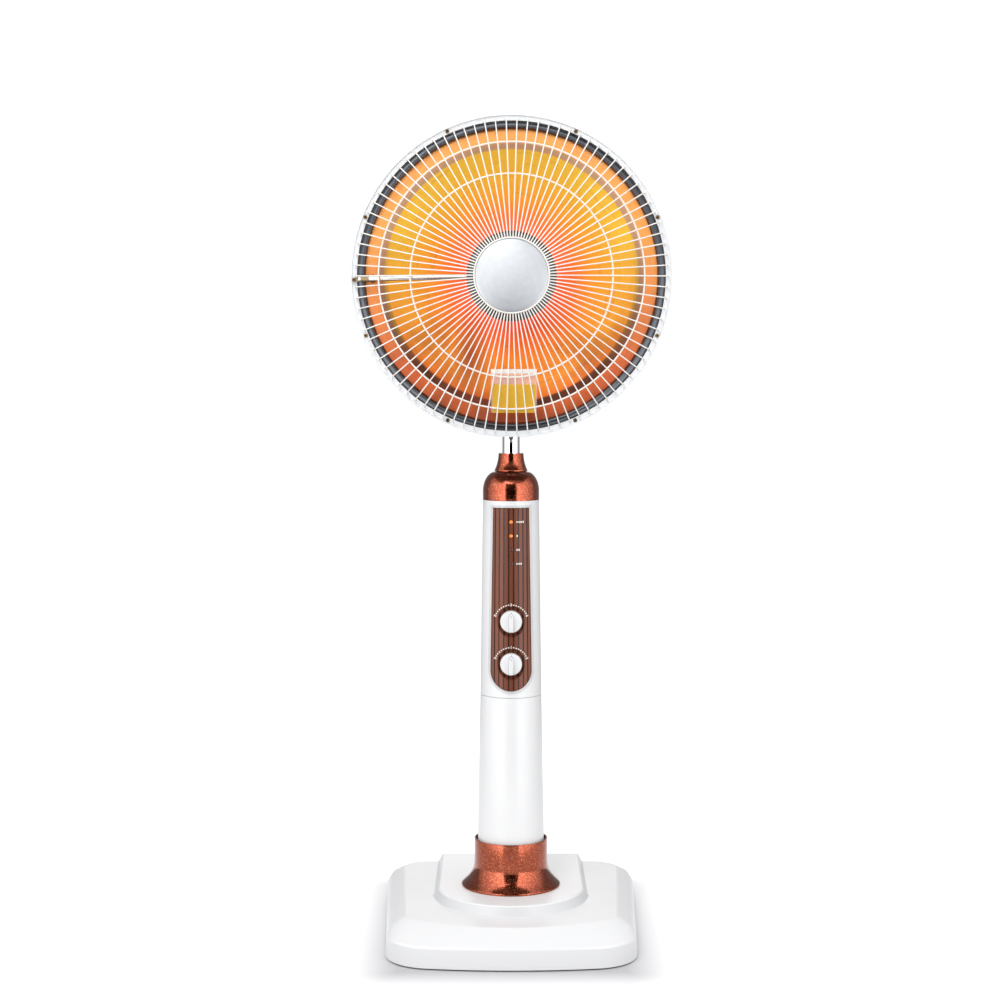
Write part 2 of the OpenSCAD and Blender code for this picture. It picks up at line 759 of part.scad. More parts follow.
module column_cap() color(copper) revolve() polygon(concat(
    [[column_top_r - column_wall - seat_gap, column_top_z - cap_skirt_h],
        [column_top_r - column_wall - seat_gap, column_top_z],
        [column_top_r, column_top_z]],
    cap_curve(0, 0.99),
    [[cap_curve_r, cap_top_z], [cap_hole_r, cap_top_z], [cap_hole_r, cap_top_z - cap_wall - 1]],
    [for (i = [cap_steps:-1:0]) cap_curve(cap_wall, 0.95)[i]],
    [[column_top_r - cap_wall, column_top_z + 5],
        [column_top_r - column_wall - seat_gap - spigot_wall, column_top_z + 2],
        [column_top_r - column_wall - seat_gap - spigot_wall, column_top_z - cap_skirt_h]]));

module collet_bush() color(black_plastic) difference() {
    revolve() polygon([[pole_r + run_gap, bush_foot_z], [tube_bore_r - fit_gap, bush_foot_z],
        [tube_bore_r - fit_gap, tube_top_z], [bush_flange_r, tube_top_z],
        [bush_flange_r, tube_top_z + bush_flange_h], [tube_r + 0.2, tube_top_z + bush_flange_h],
        [tube_r + 0.2, cap_top_z + 5], [collet_r, cap_top_z + 6], [collet_r - 0.6, collet_top_z],
        [pole_r + run_gap, collet_top_z]]);
    for (a = [0, 90]) rotate(a) translate([-through / 2, -collet_slot_w / 2, cap_top_z + 4])
        cube([through, collet_slot_w, through]);
}

module lock_collar() color(copper) revolve() polygon([
    [tube_r + 0.9, lock_foot_z], [lock_foot_r, lock_foot_z], [lock_foot_r, lock_foot_z + 2],
    [lock_foot_r * 0.35 + lock_top_r * 0.65, lock_foot_z + lock_h * 0.5],
    [lock_top_r + 0.5, lock_top_z - 4], [lock_top_r, lock_top_z],
    [pole_r + 0.4, lock_top_z], [pole_r + 0.4, lock_top_z - lock_lip_h],
    [tube_r + 0.9, lock_top_z - lock_lip_h - 1]]);

module pole() color(chrome) translate([0, 0, pole_foot_z])
    tube(pole_r, pole_bore_r, pole_top_z - pole_foot_z);

module pole_stop() color(black_plastic) translate([0, 0, pole_foot_z + pole_stop_at])
    tube(tube_bore_r - 0.2, pole_r + fit_gap, stop_h);

// ---------- swing head ----------
module swing_housing() color(white_gloss) translate([0, 0, swing_foot_z]) difference() {
    union() {
        tube(swing_r, swing_r - swing_wall, swing_h - swing_lid_t - seat_gap);
        cylinder(r = swing_r, h = swing_floor_t, $fn = 72);
        translate([0, 0, -swing_cone_h])
            cylinder(r1 = swing_boss_r, r2 = swing_r - 4, h = swing_cone_h, $fn = 72);
        cylinder(r = swing_boss_r, h = swing_boss_h, $fn = 72);
    }
    translate([0, 0, -swing_cone_h - 1])
        cylinder(r = pole_r + fit_gap, h = swing_cone_h + 1 + swing_boss_h - swing_boss_web, $fn = 72);
}

module swing_motor() color(steel) translate([0, 0, motor_foot_z]) {
    cylinder(r = motor_r, h = motor_h, $fn = 72);
    cylinder(r = motor_neck_r, h = motor_h + motor_neck_h, $fn = 48);
}

module swing_lid() color(white_gloss) translate([0, 0, swing_top_z - swing_lid_t])
    difference() {
        union() {
            cylinder(r = swing_r, h = swing_lid_t, $fn = 72);
            translate([0, 0, -swing_lid_skirt])
                tube(swing_r - swing_wall - seat_gap, swing_r - swing_wall - 2.5, swing_lid_skirt + 1);
        }
        translate([0, 0, -1]) cylinder(r = swing_shaft_r + run_gap, h = 10, $fn = 48);
    }

module swing_shaft() color(steel) translate([0, 0, swing_shaft_foot_z])
    cylinder(r = swing_shaft_r, h = yoke_foot_z + yoke_t - swing_shaft_foot_z, $fn = 48);

module tilt_place() translate([0, 0, tilt_z]) rotate([90, 0, 90]) children();

module yoke() color(dark_steel) difference() {
    union() {
        translate([0, 0, yoke_foot_z]) cylinder(r = yoke_r, h = yoke_t, $fn = 72);
        for (x = [-tongue_half - seat_gap - ear_t, tongue_half + seat_gap])
            tilt_place() translate([0, 0, x]) {
                cylinder(r = ear_r, h = ear_t, $fn = 64);
                translate([-ear_r, yoke_foot_z + yoke_t - 1 - tilt_z, 0])
                    cube([2 * ear_r, tilt_z - yoke_foot_z - yoke_t + 1, ear_t]);
            }
    }
    translate([0, 0, yoke_foot_z - 1]) cylinder(r = swing_shaft_r + fit_gap, h = 7, $fn = 48);
    tilt_place() cylinder(r = tilt_pin_r + run_gap, h = 2 * through, center = true, $fn = 48);
}

module tilt_bolt() color(chrome) {
    side = tongue_half + seat_gap + ear_t + seat_gap;
    tilt_place() {
        cylinder(r = tilt_pin_r, h = 2 * side + 10, center = true, $fn = 48);
        translate([0, 0, -side - 5]) cylinder(r = 7.5, h = 5, $fn = 6);
    }
    tilt_place() translate([0, 0, side]) difference() {
        cylinder(r = 7.5, h = 5, $fn = 6);
        translate([0, 0, -1]) cylinder(r = tilt_pin_r + fit_gap, h = 7, $fn = 48);
    }
}

// ---------- back of the head ----------
module head_screw_places() four_corners(head_screw_at, head_screw_at) children();

module head_bracket() color(dark_steel) difference() {
    union() {
        in_head() translate([-bracket_half, tilt_z - head_z + ear_r + 4, bracket_w - bracket_t])
            cube([2 * bracket_half, head_z - tilt_z - ear_r - 4 + bracket_half, bracket_t]);
        tilt_place() translate([0, 0, -tongue_half]) linear_extrude(2 * tongue_half) {
            circle(r = ear_r - 1, $fn = 64);
            polygon([[-ear_r * 0.7, -ear_r * 0.55], [-bracket_w, 12],
                [-bracket_w, bracket_rib_h], [bracket_t - bracket_w, bracket_rib_h],
                [ear_r * 0.55, ear_r * 0.7]]);
        }
    }
    tilt_place() cylinder(r = tilt_pin_r + run_gap, h = 2 * through, center = true, $fn = 48);
    in_head() head_screw_places() cylinder(r = head_screw_r + run_gap, h = through, $fn = 32);
}

module head_screws() color(steel) in_head() head_screw_places() {
    translate([0, 0, bracket_w - bracket_t - 4])
        cylinder(r = head_screw_r, h = screw_seat_w - bracket_w + bracket_t + 6, $fn = 32);
    translate([0, 0, screw_seat_w + seat_gap]) cylinder(r = 4, h = 2.4, $fn = 32);
    translate([0, 0, bracket_w - bracket_t - 3.2 - seat_gap]) difference() {
        cylinder(r = 4, h = 3.2, $fn = 6);
        translate([0, 0, -1]) cylinder(r = head_screw_r + fit_gap, h = 6, $fn = 32);
    }
}

function cover_outline(in) = [[0, cover_back_w + in], [rear_cover_r - 18 - in / 3, cover_back_w + in],
    [rear_cover_r - 8 - in * 0.8, cover_back_w + 2.8 + in * 0.9],
    [rear_cover_r - 2 - in, cover_back_w + 8.5 + in / 2], [rear_cover_r - in, cover_back_w + 14.5],
    [rear_cover_r - in, cover_rim_w]];

module rear_cover() color(white_gloss) in_head() difference() {
    union() {
        revolve() polygon(concat(cover_outline(0),
            [for (i = [5:-1:0]) cover_outline(cover_wall)[i]]));
        head_screw_places() translate([0, 0, cover_back_w + 0.5])
            cylinder(r = 5, h = dish_w(head_screw_at) - sheet_t - seat_gap - cover_back_w - 0.5,
                $fn = 32);
    }
    head_screw_places() cylinder(r = head_screw_r + run_gap, h = through, $fn = 32);
    for (i = [0:vent_count - 1]) translate([-vent_l / 2, vent_at + vent_pitch * i, 0])
        cube([vent_l, vent_w, cover_back_w + 4]);
    lead_line() cylinder(r = lead_r + 0.6, h = through, $fn = 32);
}

module terminal_block() color(ceramic) in_head()
    translate([0, -block_at, cover_back_w + cover_wall + seat_gap]) difference() {
        translate([-block_size.x / 2, -block_size.y / 2, 0]) cube(block_size);
        for (i = [-1:1]) translate([i * block_hole_pitch, 0, 3])
            cylinder(r = block_hole_r, h = block_size.z, $fn = 32);
    }

// ---------- dish and rim ----------
dish_face = concat(
    [for (i = [0:bowl_steps]) let (r = bowl_r * i / bowl_steps) [r, dish_w(r)]],
    [[lip_r, lip_w], [flange_r, lip_w]]);

// Each screw sits halfway between the two wires nearest to its even place
module rim_screw_places() for (i = [0:rim_screw_count - 1]) let (step = 360 / wire_count)
    rotate((floor((i + 0.5) * wire_count / rim_screw_count) + 0.5) * step)
        translate([rim_screw_r, 0, 0]) children();

module rod_screw_place() rotate(rod_screw_angle) translate([rim_screw_r, 0, 0]) children();

module rim_holes() {
    rim_screw_places() cylinder(r = rim_shank_r + run_gap, h = 2 * rim_front_w, $fn = 24);
    rod_screw_place() cylinder(r = rim_shank_r + run_gap, h = 2 * rim_front_w, $fn = 24);
}

module reflector() color(gold) in_head() difference() {
    revolve() polygon(concat(dish_face,
        [for (i = [len(dish_face) - 1:-1:0]) dish_face[i] - [0, sheet_t]]));
    rim_holes();
    head_screw_places() cylinder(r = head_screw_r + run_gap, h = through, $fn = 24);
    lead_place() cylinder(r = lead_r + 1.6, h = through, center = true, $fn = 32);
}

module bead_ring() color(dark_steel) in_head() revolve() translate([bead_ring_r, bead_w])
    difference() {
        circle(r = bead_r, $fn = 48);
        circle(r = bead_r - bead_wall, $fn = 48);
        translate([-1.5, -bead_r - 1]) square([3, bead_r]);
    }

module rim_band() color(white_gloss) in_head() difference() {
    revolve() polygon([[rim_inner_r, rim_flange_w], [rim_r - rim_wall, rim_flange_w],
        [rim_r - rim_wall, rim_back_w], [rim_r, rim_back_w], [rim_r, rim_lip_w],
        [rim_r - rim_wall, rim_lip_w], [rim_r - rim_wall, rim_front_w], [rim_inner_r, rim_front_w]]);
    rim_holes();
}

// A flat of the nut faces the band's wall
module rim_screw(seat_w) {
    low = lip_w - sheet_t - rim_nut_h - rim_screw_spare;
    translate([0, 0, low]) cylinder(r = rim_shank_r, h = seat_w - low + 1, $fn = 24);
    translate([0, 0, seat_w]) cylinder(r = rim_head_r, h = rim_head_h, $fn = 24);
    translate([0, 0, low + rim_screw_spare]) rotate(30) difference() {
        cylinder(r = rim_nut_r, h = rim_nut_h, $fn = 6);
        translate([0, 0, -1]) cylinder(r = rim_shank_r + fit_gap, h = rim_nut_h + 2, $fn = 24);
    }
}

module rim_screws() color(brass) in_head() {
    rim_screw_places() rim_screw(rim_front_w);
    rod_screw_place() rim_screw(fitting_tab_w + fitting_tab_t);
}

// ---------- guard ----------
// One wire, in the plane of +X and +Z: the dome, the bend round the rim and a short tail
module wire() {
    rotate([90, 0, 0]) translate([0, lip_w + dome_top - dome_r, 0])
        rotate([0, 0, 90 - wire_stop_a]) rotate_extrude(angle = wire_stop_a - wire_start_a, $fn = 360)
            translate([dome_r, 0]) circle(r = wire_r, $fn = 16);
    rotate([90, 0, 0]) translate([wire_end_r - wire_bend_r, wire_bend_w, 0])
        rotate_extrude(angle = 90 - wire_stop_a, $fn = 60)
            translate([wire_bend_r, 0]) circle(r = wire_r, $fn = 16);
    translate([wire_end_r, 0, rim_front_w + seat_gap])
        cylinder(r = wire_r, h = wire_bend_w - rim_front_w - seat_gap, $fn = 16);
}

module guard_wires() color(white_gloss) in_head()
    for (i = [0:wire_count - 1]) rotate(i * 360 / wire_count) wire();

module guard_ring(r) color(white_gloss) in_head() revolve()
    translate(dome_at(r, wire_r + weld_gap + ring_r)) circle(r = ring_r, $fn = 24);

module guard_ring_inner() guard_ring(inner_ring_r);
module guard_ring_middle() guard_ring(middle_ring_r);

module guard_hub_ring() color(white_gloss) in_head() revolve()
    translate([hub_ring_r, hub_ring_w]) circle(r = hub_ring_tube_r, $fn = 24);

module hub_disc() color(chrome) in_head() {
    back = hub_ring_w - hub_ring_tube_r - seat_gap;
    rise = 4;
    wall = 1.3;
    steps = 8;
    face = [for (i = [0:steps]) let (t = i / steps) [hub_disc_r * t, rise * (1 - t * t)]];
    revolve() polygon(concat([for (p = face) p + [0, hub_ring_w + 1]],
        [[hub_disc_r, back], [hub_ring_r + hub_ring_tube_r - 0.4, back],
            [hub_ring_r + hub_ring_tube_r - 0.4, back - wall], [hub_disc_r - wall, back - wall]],
        [for (i = [steps:-1:0]) face[i] * (hub_disc_r - wall) / hub_disc_r
            + [0, hub_ring_w + 1 - wall]]));
}

module guard_plate() color([0.85, 0.68, 0.15]) in_head() {
    in = wire_r + weld_gap + ring_d + seat_gap + tag_sag + tag_t / 2;
    at = dome_at(tag_r, in);
    translate([tag_x, -at[0], at[1]]) rotate([asin(tag_r / dome_r), 0, 0])
        cube([tag_w, tag_h, tag_t], center = true);
}

// ---------- element ----------
module element_shield() color(dark_steel) in_head() difference() {
    translate([0, 0, shield_front_w - shield_h]) revolve() polygon([[0, shield_h], [shield_r - 3, shield_h],
        [shield_r, shield_h - 3], [shield_r, 0], [shield_r - shield_wall, 0],
        [shield_r - shield_wall, shield_h - 3 - shield_wall / 2],
        [shield_r - 3 - shield_wall / 2, shield_h - shield_wall], [0, shield_h - shield_wall]]);
    rod_line() cylinder(r = rod_r + run_gap, h = shield_r + 5, $fn = 32);
}

module ceramic_core() color(ceramic) in_head() translate([0, 0, core_w - core_base_t]) {
    cylinder(r = core_base_r, h = core_base_t, $fn = 72);
    translate([0, 0, -core_len]) cylinder(r1 = core_tip_r, r2 = core_r, h = core_len, $fn = 72);
}

function core_at(w) = core_r - (core_r - core_tip_r) * (core_w - core_base_t - w) / core_len;
function coil_point(i) = let (w = coil_start_w - coil_pitch * i / coil_steps,
    r = core_at(w) + coil_wire_r + seat_gap + 0.2, a = 360 * i / coil_steps)
    [r * cos(a), r * sin(a), w];
coil_path = [for (i = [0:coil_turns * coil_steps]) coil_point(i)];
coil_least = min([for (i = [0:len(coil_path) - 1], j = [i + coil_steps / 2:1:len(coil_path) - 1])
    norm(coil_path[i] - coil_path[j])]) - 2 * coil_wire_r;

module swept_tube(path, r, sides) {
    last = len(path) - 1;
    ring_points = [for (i = [0:last]) let (
        along = path[min(i + 1, last)] - path[max(i - 1, 0)], t = along / norm(along),
        out = cross(t, cross([0, 0, 1], t)), u = out / norm(out), v = cross(t, u))
        for (k = [0:sides - 1]) path[i] + r * (cos(360 * k / sides) * u + sin(360 * k / sides) * v)];
    walls = [for (i = [0:last - 1], k = [0:sides - 1]) let (a = i * sides + k,
        b = i * sides + (k + 1) % sides) each [[a, b, b + sides], [a, b + sides, a + sides]]];
    caps = [for (k = [1:sides - 2]) each [[0, k + 1, k],
        [last * sides, last * sides + k, last * sides + k + 1]]];
    polyhedron(ring_points, [for (f = concat(walls, caps)) [f[0], f[2], f[1]]]);
}

module heating_coil() color([1, 0.45, 0.12]) in_head() {
    echo(coil_least_gap = coil_least);
    swept_tube(coil_path, coil_wire_r, coil_sides);
}

module rod_line() rotate(180 + rod_slope) translate([0, 0, rod_w]) rotate([0, 90, 0]) children();

module lead_place() rotate(180 + rod_slope) translate([lead_r_at, 0, lip_w]) children();

// Runs from inside the rear cover to the turn behind the lip
module lead_line() rotate(180 + rod_slope) translate([lead_in[0], 0, lead_in[1]])
    rotate([0, atan2(lead_turn[0] - lead_in[0], lead_turn[1] - lead_in[1]), 0]) children();

module support_rod() color(chrome) in_head() difference() {
    rod_line() translate([0, 0, rod_start_r]) tube(rod_r, rod_r - rod_wall, rod_end_r - rod_start_r);
    lead_place() cylinder(r = lead_r + run_gap, h = rod_w - lip_w, $fn = 32);
}

module rod_fitting() color(brass) in_head() difference() {
    union() {
        rod_line() translate([0, 0, fitting_start_r])
            cylinder(r = fitting_r, h = fitting_end_r - fitting_start_r, $fn = 48);
        rotate(rod_screw_angle)
            translate([fitting_start_r + fitting_tab_in, -fitting_tab_wide / 2, fitting_tab_w])
            cube([rim_screw_r - fitting_start_r - fitting_tab_in, fitting_tab_wide, fitting_tab_t]);
        rod_screw_place() translate([0, 0, rim_front_w])
            cylinder(r = fitting_tab_wide / 2, h = fitting_tab_w + fitting_tab_t - rim_front_w,
                $fn = 32);
    }
    rod_line() cylinder(r = rod_r + fit_gap, h = rod_end_r + 1, $fn = 48);
    rod_screw_place() cylinder(r = rim_shank_r + fit_gap, h = 2 * rim_front_w, $fn = 24);
    translate([-rim_screw_r - fitting_r, -2 * fitting_r, 0])
        cube([rim_screw_r, 4 * fitting_r, rim_front_w]);
    translate([-bead_ring_r - bead_r - 0.1, -2 * fitting_r, 0])
        cube([bead_ring_r, 4 * fitting_r, fitting_tab_w]);
}

module element_lead() color(ceramic) in_head() {
    lead_line() cylinder(r = lead_r, h = norm(lead_turn - lead_in), $fn = 32);
    rotate(180 + rod_slope) translate([lead_turn[0], 0, lead_turn[1]]) {
        sphere(r = lead_r + 0.8, $fn = 32);
        cylinder(r = lead_r, h = rod_w - rod_r + 0.8 - lead_turn[1], $fn = 32);
    }
}

module lead_grommet() color(rubber) in_head() lead_place() difference() {
    union() {
        translate([0, 0, -sheet_t - 1.2 - seat_gap]) cylinder(r = lead_r + 1.5, h = 5.4, $fn = 32);
        translate([0, 0, seat_gap]) cylinder(r = lead_r + 3, h = 1.6, $fn = 32);
    }
    cylinder(r = lead_r + run_gap, h = through, center = true, $fn = 32);
}

base_cover();
base_plate();
ballast();
rubber_feet();
base_screws();
stand_socket();
socket_bolts();
stand_tube();
stop_pin();
tip_switch();
cord_gland();
base_collar();
lower_column();
housing_front();
housing_back();
housing_screws();
panel_bezel();
control_panel();
lamps_lit();
lamps_unlit();
lamp_board();
timer_body();
timer_shaft();
timer_knob();
selector_body();
selector_shaft();
selector_knob();
column_cap();
collet_bush();
lock_collar();
pole();
pole_stop();
swing_housing();
swing_motor();
swing_lid();
swing_shaft();
yoke();
tilt_bolt();
head_bracket();
head_screws();
rear_cover();
terminal_block();
reflector();
bead_ring();
rim_band();
rim_screws();
guard_wires();
guard_ring_inner();
guard_ring_middle();
guard_hub_ring();
hub_disc();
guard_plate();
element_shield();
ceramic_core();
heating_coil();
support_rod();
rod_fitting();
element_lead();
lead_grommet();
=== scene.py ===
import bmesh
import bpy
import json
from math import asin, atan2, cos, hypot, pi, radians, sin, sqrt
from mathutils import Matrix, Vector


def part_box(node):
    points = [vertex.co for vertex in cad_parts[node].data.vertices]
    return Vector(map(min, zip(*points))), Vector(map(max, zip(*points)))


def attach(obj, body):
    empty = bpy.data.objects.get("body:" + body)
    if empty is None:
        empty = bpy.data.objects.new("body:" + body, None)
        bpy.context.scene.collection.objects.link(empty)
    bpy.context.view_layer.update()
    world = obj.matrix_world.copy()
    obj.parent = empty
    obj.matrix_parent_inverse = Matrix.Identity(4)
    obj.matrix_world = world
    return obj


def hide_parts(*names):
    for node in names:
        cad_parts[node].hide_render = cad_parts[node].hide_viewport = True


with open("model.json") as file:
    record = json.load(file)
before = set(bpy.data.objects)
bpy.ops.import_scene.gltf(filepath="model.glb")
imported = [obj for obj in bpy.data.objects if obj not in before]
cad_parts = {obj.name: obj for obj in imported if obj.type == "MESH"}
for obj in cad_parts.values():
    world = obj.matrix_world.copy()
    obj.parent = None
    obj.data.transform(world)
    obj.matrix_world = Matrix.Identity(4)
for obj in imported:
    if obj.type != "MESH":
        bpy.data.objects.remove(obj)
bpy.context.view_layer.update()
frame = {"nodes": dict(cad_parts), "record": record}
scene = bpy.context.scene
nodes = frame["nodes"]
headZ = sum(corner[2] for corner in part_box("rim_band")) / 2   # height of the dish's centre
print("frame loaded:", len(nodes), "nodes")


# small helpers
def srgb(red, green, blue):
    # an eye-dropper colour, 0 to 255, as the shader wants it
    parts = [channel / 255 for channel in (red, green, blue)]
    return tuple(p / 12.92 if p <= 0.04045 else ((p + 0.055) / 1.055) ** 2.4 for p in parts) + (1.0,)


def shaded(color, factor, lift=0.0):
    return tuple(min(1.0, part * factor + lift) for part in color[:3]) + (1.0,)


def feed(tree, socket, value):
    # links an output to the socket, or sets a plain value on it
    if hasattr(value, "links"):
        tree.links.new(value, socket)
    else:
        socket.default_value = value


def addNode(tree, kind, sockets=(), **settings):
    node = tree.nodes.new("ShaderNode" + kind)
    for key, value in settings.items():
        setattr(node, key, value)
    for label, value in dict(sockets).items():
        feed(tree, node.inputs[label], value)
    return node


def compute(tree, operation, first, second=None):
    sockets = {0: first} if second is None else {0: first, 1: second}
    return addNode(tree, "Math", sockets, operation=operation).outputs[0]


def plus(tree, first, second):
    return compute(tree, "ADD", first, second)


def minus(tree, first, second):
    return compute(tree, "SUBTRACT", first, second)


def times(tree, first, second):
    return compute(tree, "MULTIPLY", first, second)


def vectorMath(tree, operation, first, second=(0, 0, 0)):
    node = addNode(tree, "VectorMath", {0: first, 1: second}, operation=operation)
    return node.outputs["Value" if operation == "LENGTH" else "Vector"]


def reach(tree, across, up):
    # how far two measures at a right angle lead together
    return vectorMath(tree, "LENGTH", addNode(tree, "CombineXYZ", {"X": across, "Y": up}).outputs[0])


def remap(tree, value, start=0.0, stop=1.0, low=0.0, high=1.0):
    # start to stop become low to high, and what lies beyond is held there
    return addNode(tree, "MapRange", {"Value": value, "From Min": start, "From Max": stop, "To Min": low,
                                      "To Max": high}).outputs[0]


def objectPlace(tree):
    return addNode(tree, "TexCoord").outputs["Object"]


def split(tree, vector):
    return addNode(tree, "SeparateXYZ", {"Vector": vector}).outputs


def angleFromFront(tree, place):
    return compute(tree, "ARCTAN2", place["X"], times(tree, place["Y"], -1.0))


def noise(tree, place, scale, detail):
    return addNode(tree, "TexNoise", {"Vector": place, "Scale": scale, "Detail": detail}).outputs["Fac"]


def mixColors(tree, factor, first, second, blend="MIX"):
    return addNode(tree, "Mix", {0: factor, 6: first, 7: second}, data_type="RGBA",
                   blend_type=blend).outputs[2]


def colorRamp(tree, factor, stops):
    node = addNode(tree, "ValToRGB", {"Fac": factor})
    ramp = node.color_ramp
    while len(ramp.elements) < len(stops):
        ramp.elements.new(0.5)
    for element, (place, *color) in zip(ramp.elements, stops):
        element.position = place
        element.color = srgb(*color)
    return node.outputs["Color"]


def makeGroup(name, build, **values):
    # a shared effect: build makes its nodes and returns what goes out
    group = bpy.data.node_groups.new(name, "ShaderNodeTree")
    for label, value in values.items():
        kind = "NodeSocketVector" if isinstance(value, tuple) else "NodeSocketFloat"
        group.interface.new_socket(label, in_out="INPUT", socket_type=kind).default_value = value
    made = build(group, group.nodes.new("NodeGroupInput").outputs)
    for label in made:
        group.interface.new_socket(label, in_out="OUTPUT", socket_type="NodeSocketFloat")
    result = group.nodes.new("NodeGroupOutput").inputs
    for label, value in made.items():
        group.links.new(value, result[label])
    return group


def camel(name):
    first, *others = name.split("_")
    return first + "".join(word.capitalize() for word in others)


# shared effects
grainLook = {"detail": 3.0, "share": 0.35, "wideScale": 14.0, "wideDetail": 4.0, "spread": (0.35, 0.65)}
dustLook = {"scale": 22.0, "detail": 6.0, "facing": (0.35, 1.0), "patchy": (0.42, 0.7)}
brushLook = {"along": (900.0, 900.0, 14.0), "across": (14.0, 900.0, 900.0), "detail": 4.0,
             "spread": (0.3, 0.7)}
spinLook = {"lineDetail": 2.0, "stretch": 70.0, "scale": 2.2, "detail": 5.0}
flakeLook = {"scale": 60.0, "detail": 5.0}


def buildGrain(tree, given):
    # soft mottling for the colour, fine grain for roughness and height
    look, place = grainLook, objectPlace(tree)
    fine = noise(tree, place, given["Scale"], look["detail"])
    wide = noise(tree, place, look["wideScale"], look["wideDetail"])
    both = plus(tree, times(tree, fine, look["share"]), times(tree, wide, 1 - look["share"]))
    return {"Roughness": remap(tree, both, *look["spread"], given["Low"], given["High"]),
            "Height": fine, "Mottle": wide}


def buildDust(tree, given):
    # settles on what faces up and thins out in patches
    look = dustLook
    up = split(tree, addNode(tree, "NewGeometry").outputs["Normal"])["Z"]
    patches = noise(tree, objectPlace(tree), look["scale"], look["detail"])
    both = times(tree, remap(tree, up, *look["facing"]), remap(tree, patches, *look["patchy"]))
    return {"Mask": times(tree, both, given["Amount"])}


def buildBrush(tree, given):
    # long fine scratches along one axis, by stretching the noise
    look = brushLook
    drawn = vectorMath(tree, "MULTIPLY", objectPlace(tree), given["Stretch"])
    lines = noise(tree, drawn, 1.0, look["detail"])
    return {"Roughness": remap(tree, lines, *look["spread"], given["Low"], given["High"]), "Height": lines}


def buildSpin(tree, given):
    # lathe lines and longer streaks round the dish's axis, and the distance from that axis
    look = spinLook
    axes = split(tree, vectorMath(tree, "SUBTRACT", objectPlace(tree), given["Center"]))
    radius = reach(tree, axes["X"], axes["Z"])
    turns = compute(tree, "DIVIDE", radius, given["Pitch"])
    lines = addNode(tree, "TexNoise", {"W": turns, "Scale": 1.0, "Detail": look["lineDetail"]},
                    noise_dimensions="1D").outputs["Fac"]
    ringed = addNode(tree, "CombineXYZ", {"X": times(tree, radius, look["stretch"]),
                                          "Y": compute(tree, "ARCTAN2", axes["Z"], axes["X"])}).outputs[0]
    return {"Height": lines, "Radius": radius,
            "Streaks": noise(tree, ringed, look["scale"], look["detail"])}


def buildFlakes(tree, given):
    # metallic lacquer: tiny flakes, each with its own value, which the copper uses for roughness, relief
    # and a painted glint on some flakes
    place = objectPlace(tree)
    cells = addNode(tree, "TexVoronoi", {"Vector": place, "Scale": given["Scale"]}).outputs["Color"]
    return {"Sparkle": addNode(tree, "SeparateColor", {"Color": cells}).outputs["Red"],
            "Depth": noise(tree, place, flakeLook["scale"], flakeLook["detail"])}


effects = {
    "grain": makeGroup("grain", buildGrain, Scale=400.0, Low=0.2, High=0.4),
    "dust": makeGroup("dust", buildDust, Amount=0.2),
    "brush": makeGroup("brush", buildBrush, Stretch=brushLook["along"], Low=0.2, High=0.4),
    "spin": makeGroup("spin", buildSpin, Pitch=0.0006, Center=(0, 0, 0)),
    "flakes": makeGroup("flakes", buildFlakes, Scale=1500.0),
}


def effect(tree, name, **values):
    return addNode(tree, "Group", values, node_tree=effects[name]).outputs


def plug(tree, inputs, **values):
    # feeds the shader's sockets by their names, _ for a space
    for label, value in values.items():
        feed(tree, inputs[label.replace("_", " ")], value)


def newMaterial(**values):
    # the material, its nodes and its shader's sockets, whose plain numbers are set
    material = bpy.data.materials.new("finish")
    material.use_nodes = True
    tree = material.node_tree
    inputs = tree.nodes["Principled BSDF"].inputs
    plug(tree, inputs, **values)
    return material, tree, inputs


def bump(tree, height, distance):
    return addNode(tree, "Bump", {"Height": height, "Distance": distance, "Strength": 1.0}).outputs[0]


def settle(tree, inputs, grain, base, amount, color, depth):
    # dust over the colour, which roughens too, and the grain as relief
    dust = effect(tree, "dust", Amount=amount)["Mask"]
    plug(tree, inputs, Base_Color=mixColors(tree, dust, base, color),
         Roughness=plus(tree, grain["Roughness"], dust), Normal=bump(tree, grain["Height"], depth))


# finishes
whiteGloss = {"color": srgb(249, 249, 249), "shade": srgb(245, 246, 247), "grain": 1400.0, "smooth": 0.3,
              "rough": 0.38, "coat": 0.12, "peel": 0.00001, "dustColor": srgb(222, 220, 216)}


def makeWhiteGloss(*tint, dust=0.0):
    look = whiteGloss
    material, tree, inputs = newMaterial(Coat_Weight=look["coat"], Coat_Roughness=look["coat"])
    grain = effect(tree, "grain", Scale=look["grain"], Low=look["smooth"], High=look["rough"])
    base = mixColors(tree, grain["Mottle"], look["color"], look["shade"])
    tinted = mixColors(tree, 1.0, base, srgb(*tint), "MULTIPLY")
    settle(tree, inputs, grain, tinted, dust, look["dustColor"], look["peel"])
    return material


copperLook = {"dark": srgb(126, 54, 34), "light": srgb(148, 66, 41), "spark": srgb(226, 138, 98),
              "flakeScale": 950.0, "paintedGlintFrom": 0.72, "sparks": 0.55, "rough": (0.1, 0.22), "peel": 0.00001}


def makeCopper():
    look = copperLook
    material, tree, inputs = newMaterial(Metallic=1.0, Coat_Weight=0.4, Coat_Roughness=0.04)
    flakes = effect(tree, "flakes", Scale=look["flakeScale"])
    ground = mixColors(tree, flakes["Depth"], look["dark"], look["light"])
    # painted glint: some flakes get a lighter colour, as if they caught the light
    glint = times(tree, remap(tree, flakes["Sparkle"], look["paintedGlintFrom"]), look["sparks"])
    plug(tree, inputs, Base_Color=mixColors(tree, glint, ground, look["spark"]),
         Roughness=remap(tree, flakes["Sparkle"], 0.0, 1.0, *look["rough"]),
         Normal=bump(tree, flakes["Sparkle"], look["peel"]))
    return material


metalLook = {"darker": 0.82, "spunDarker": 0.8, "depth": 0.00001, "spunDepth": 0.000012, "pitch": 0.0005}


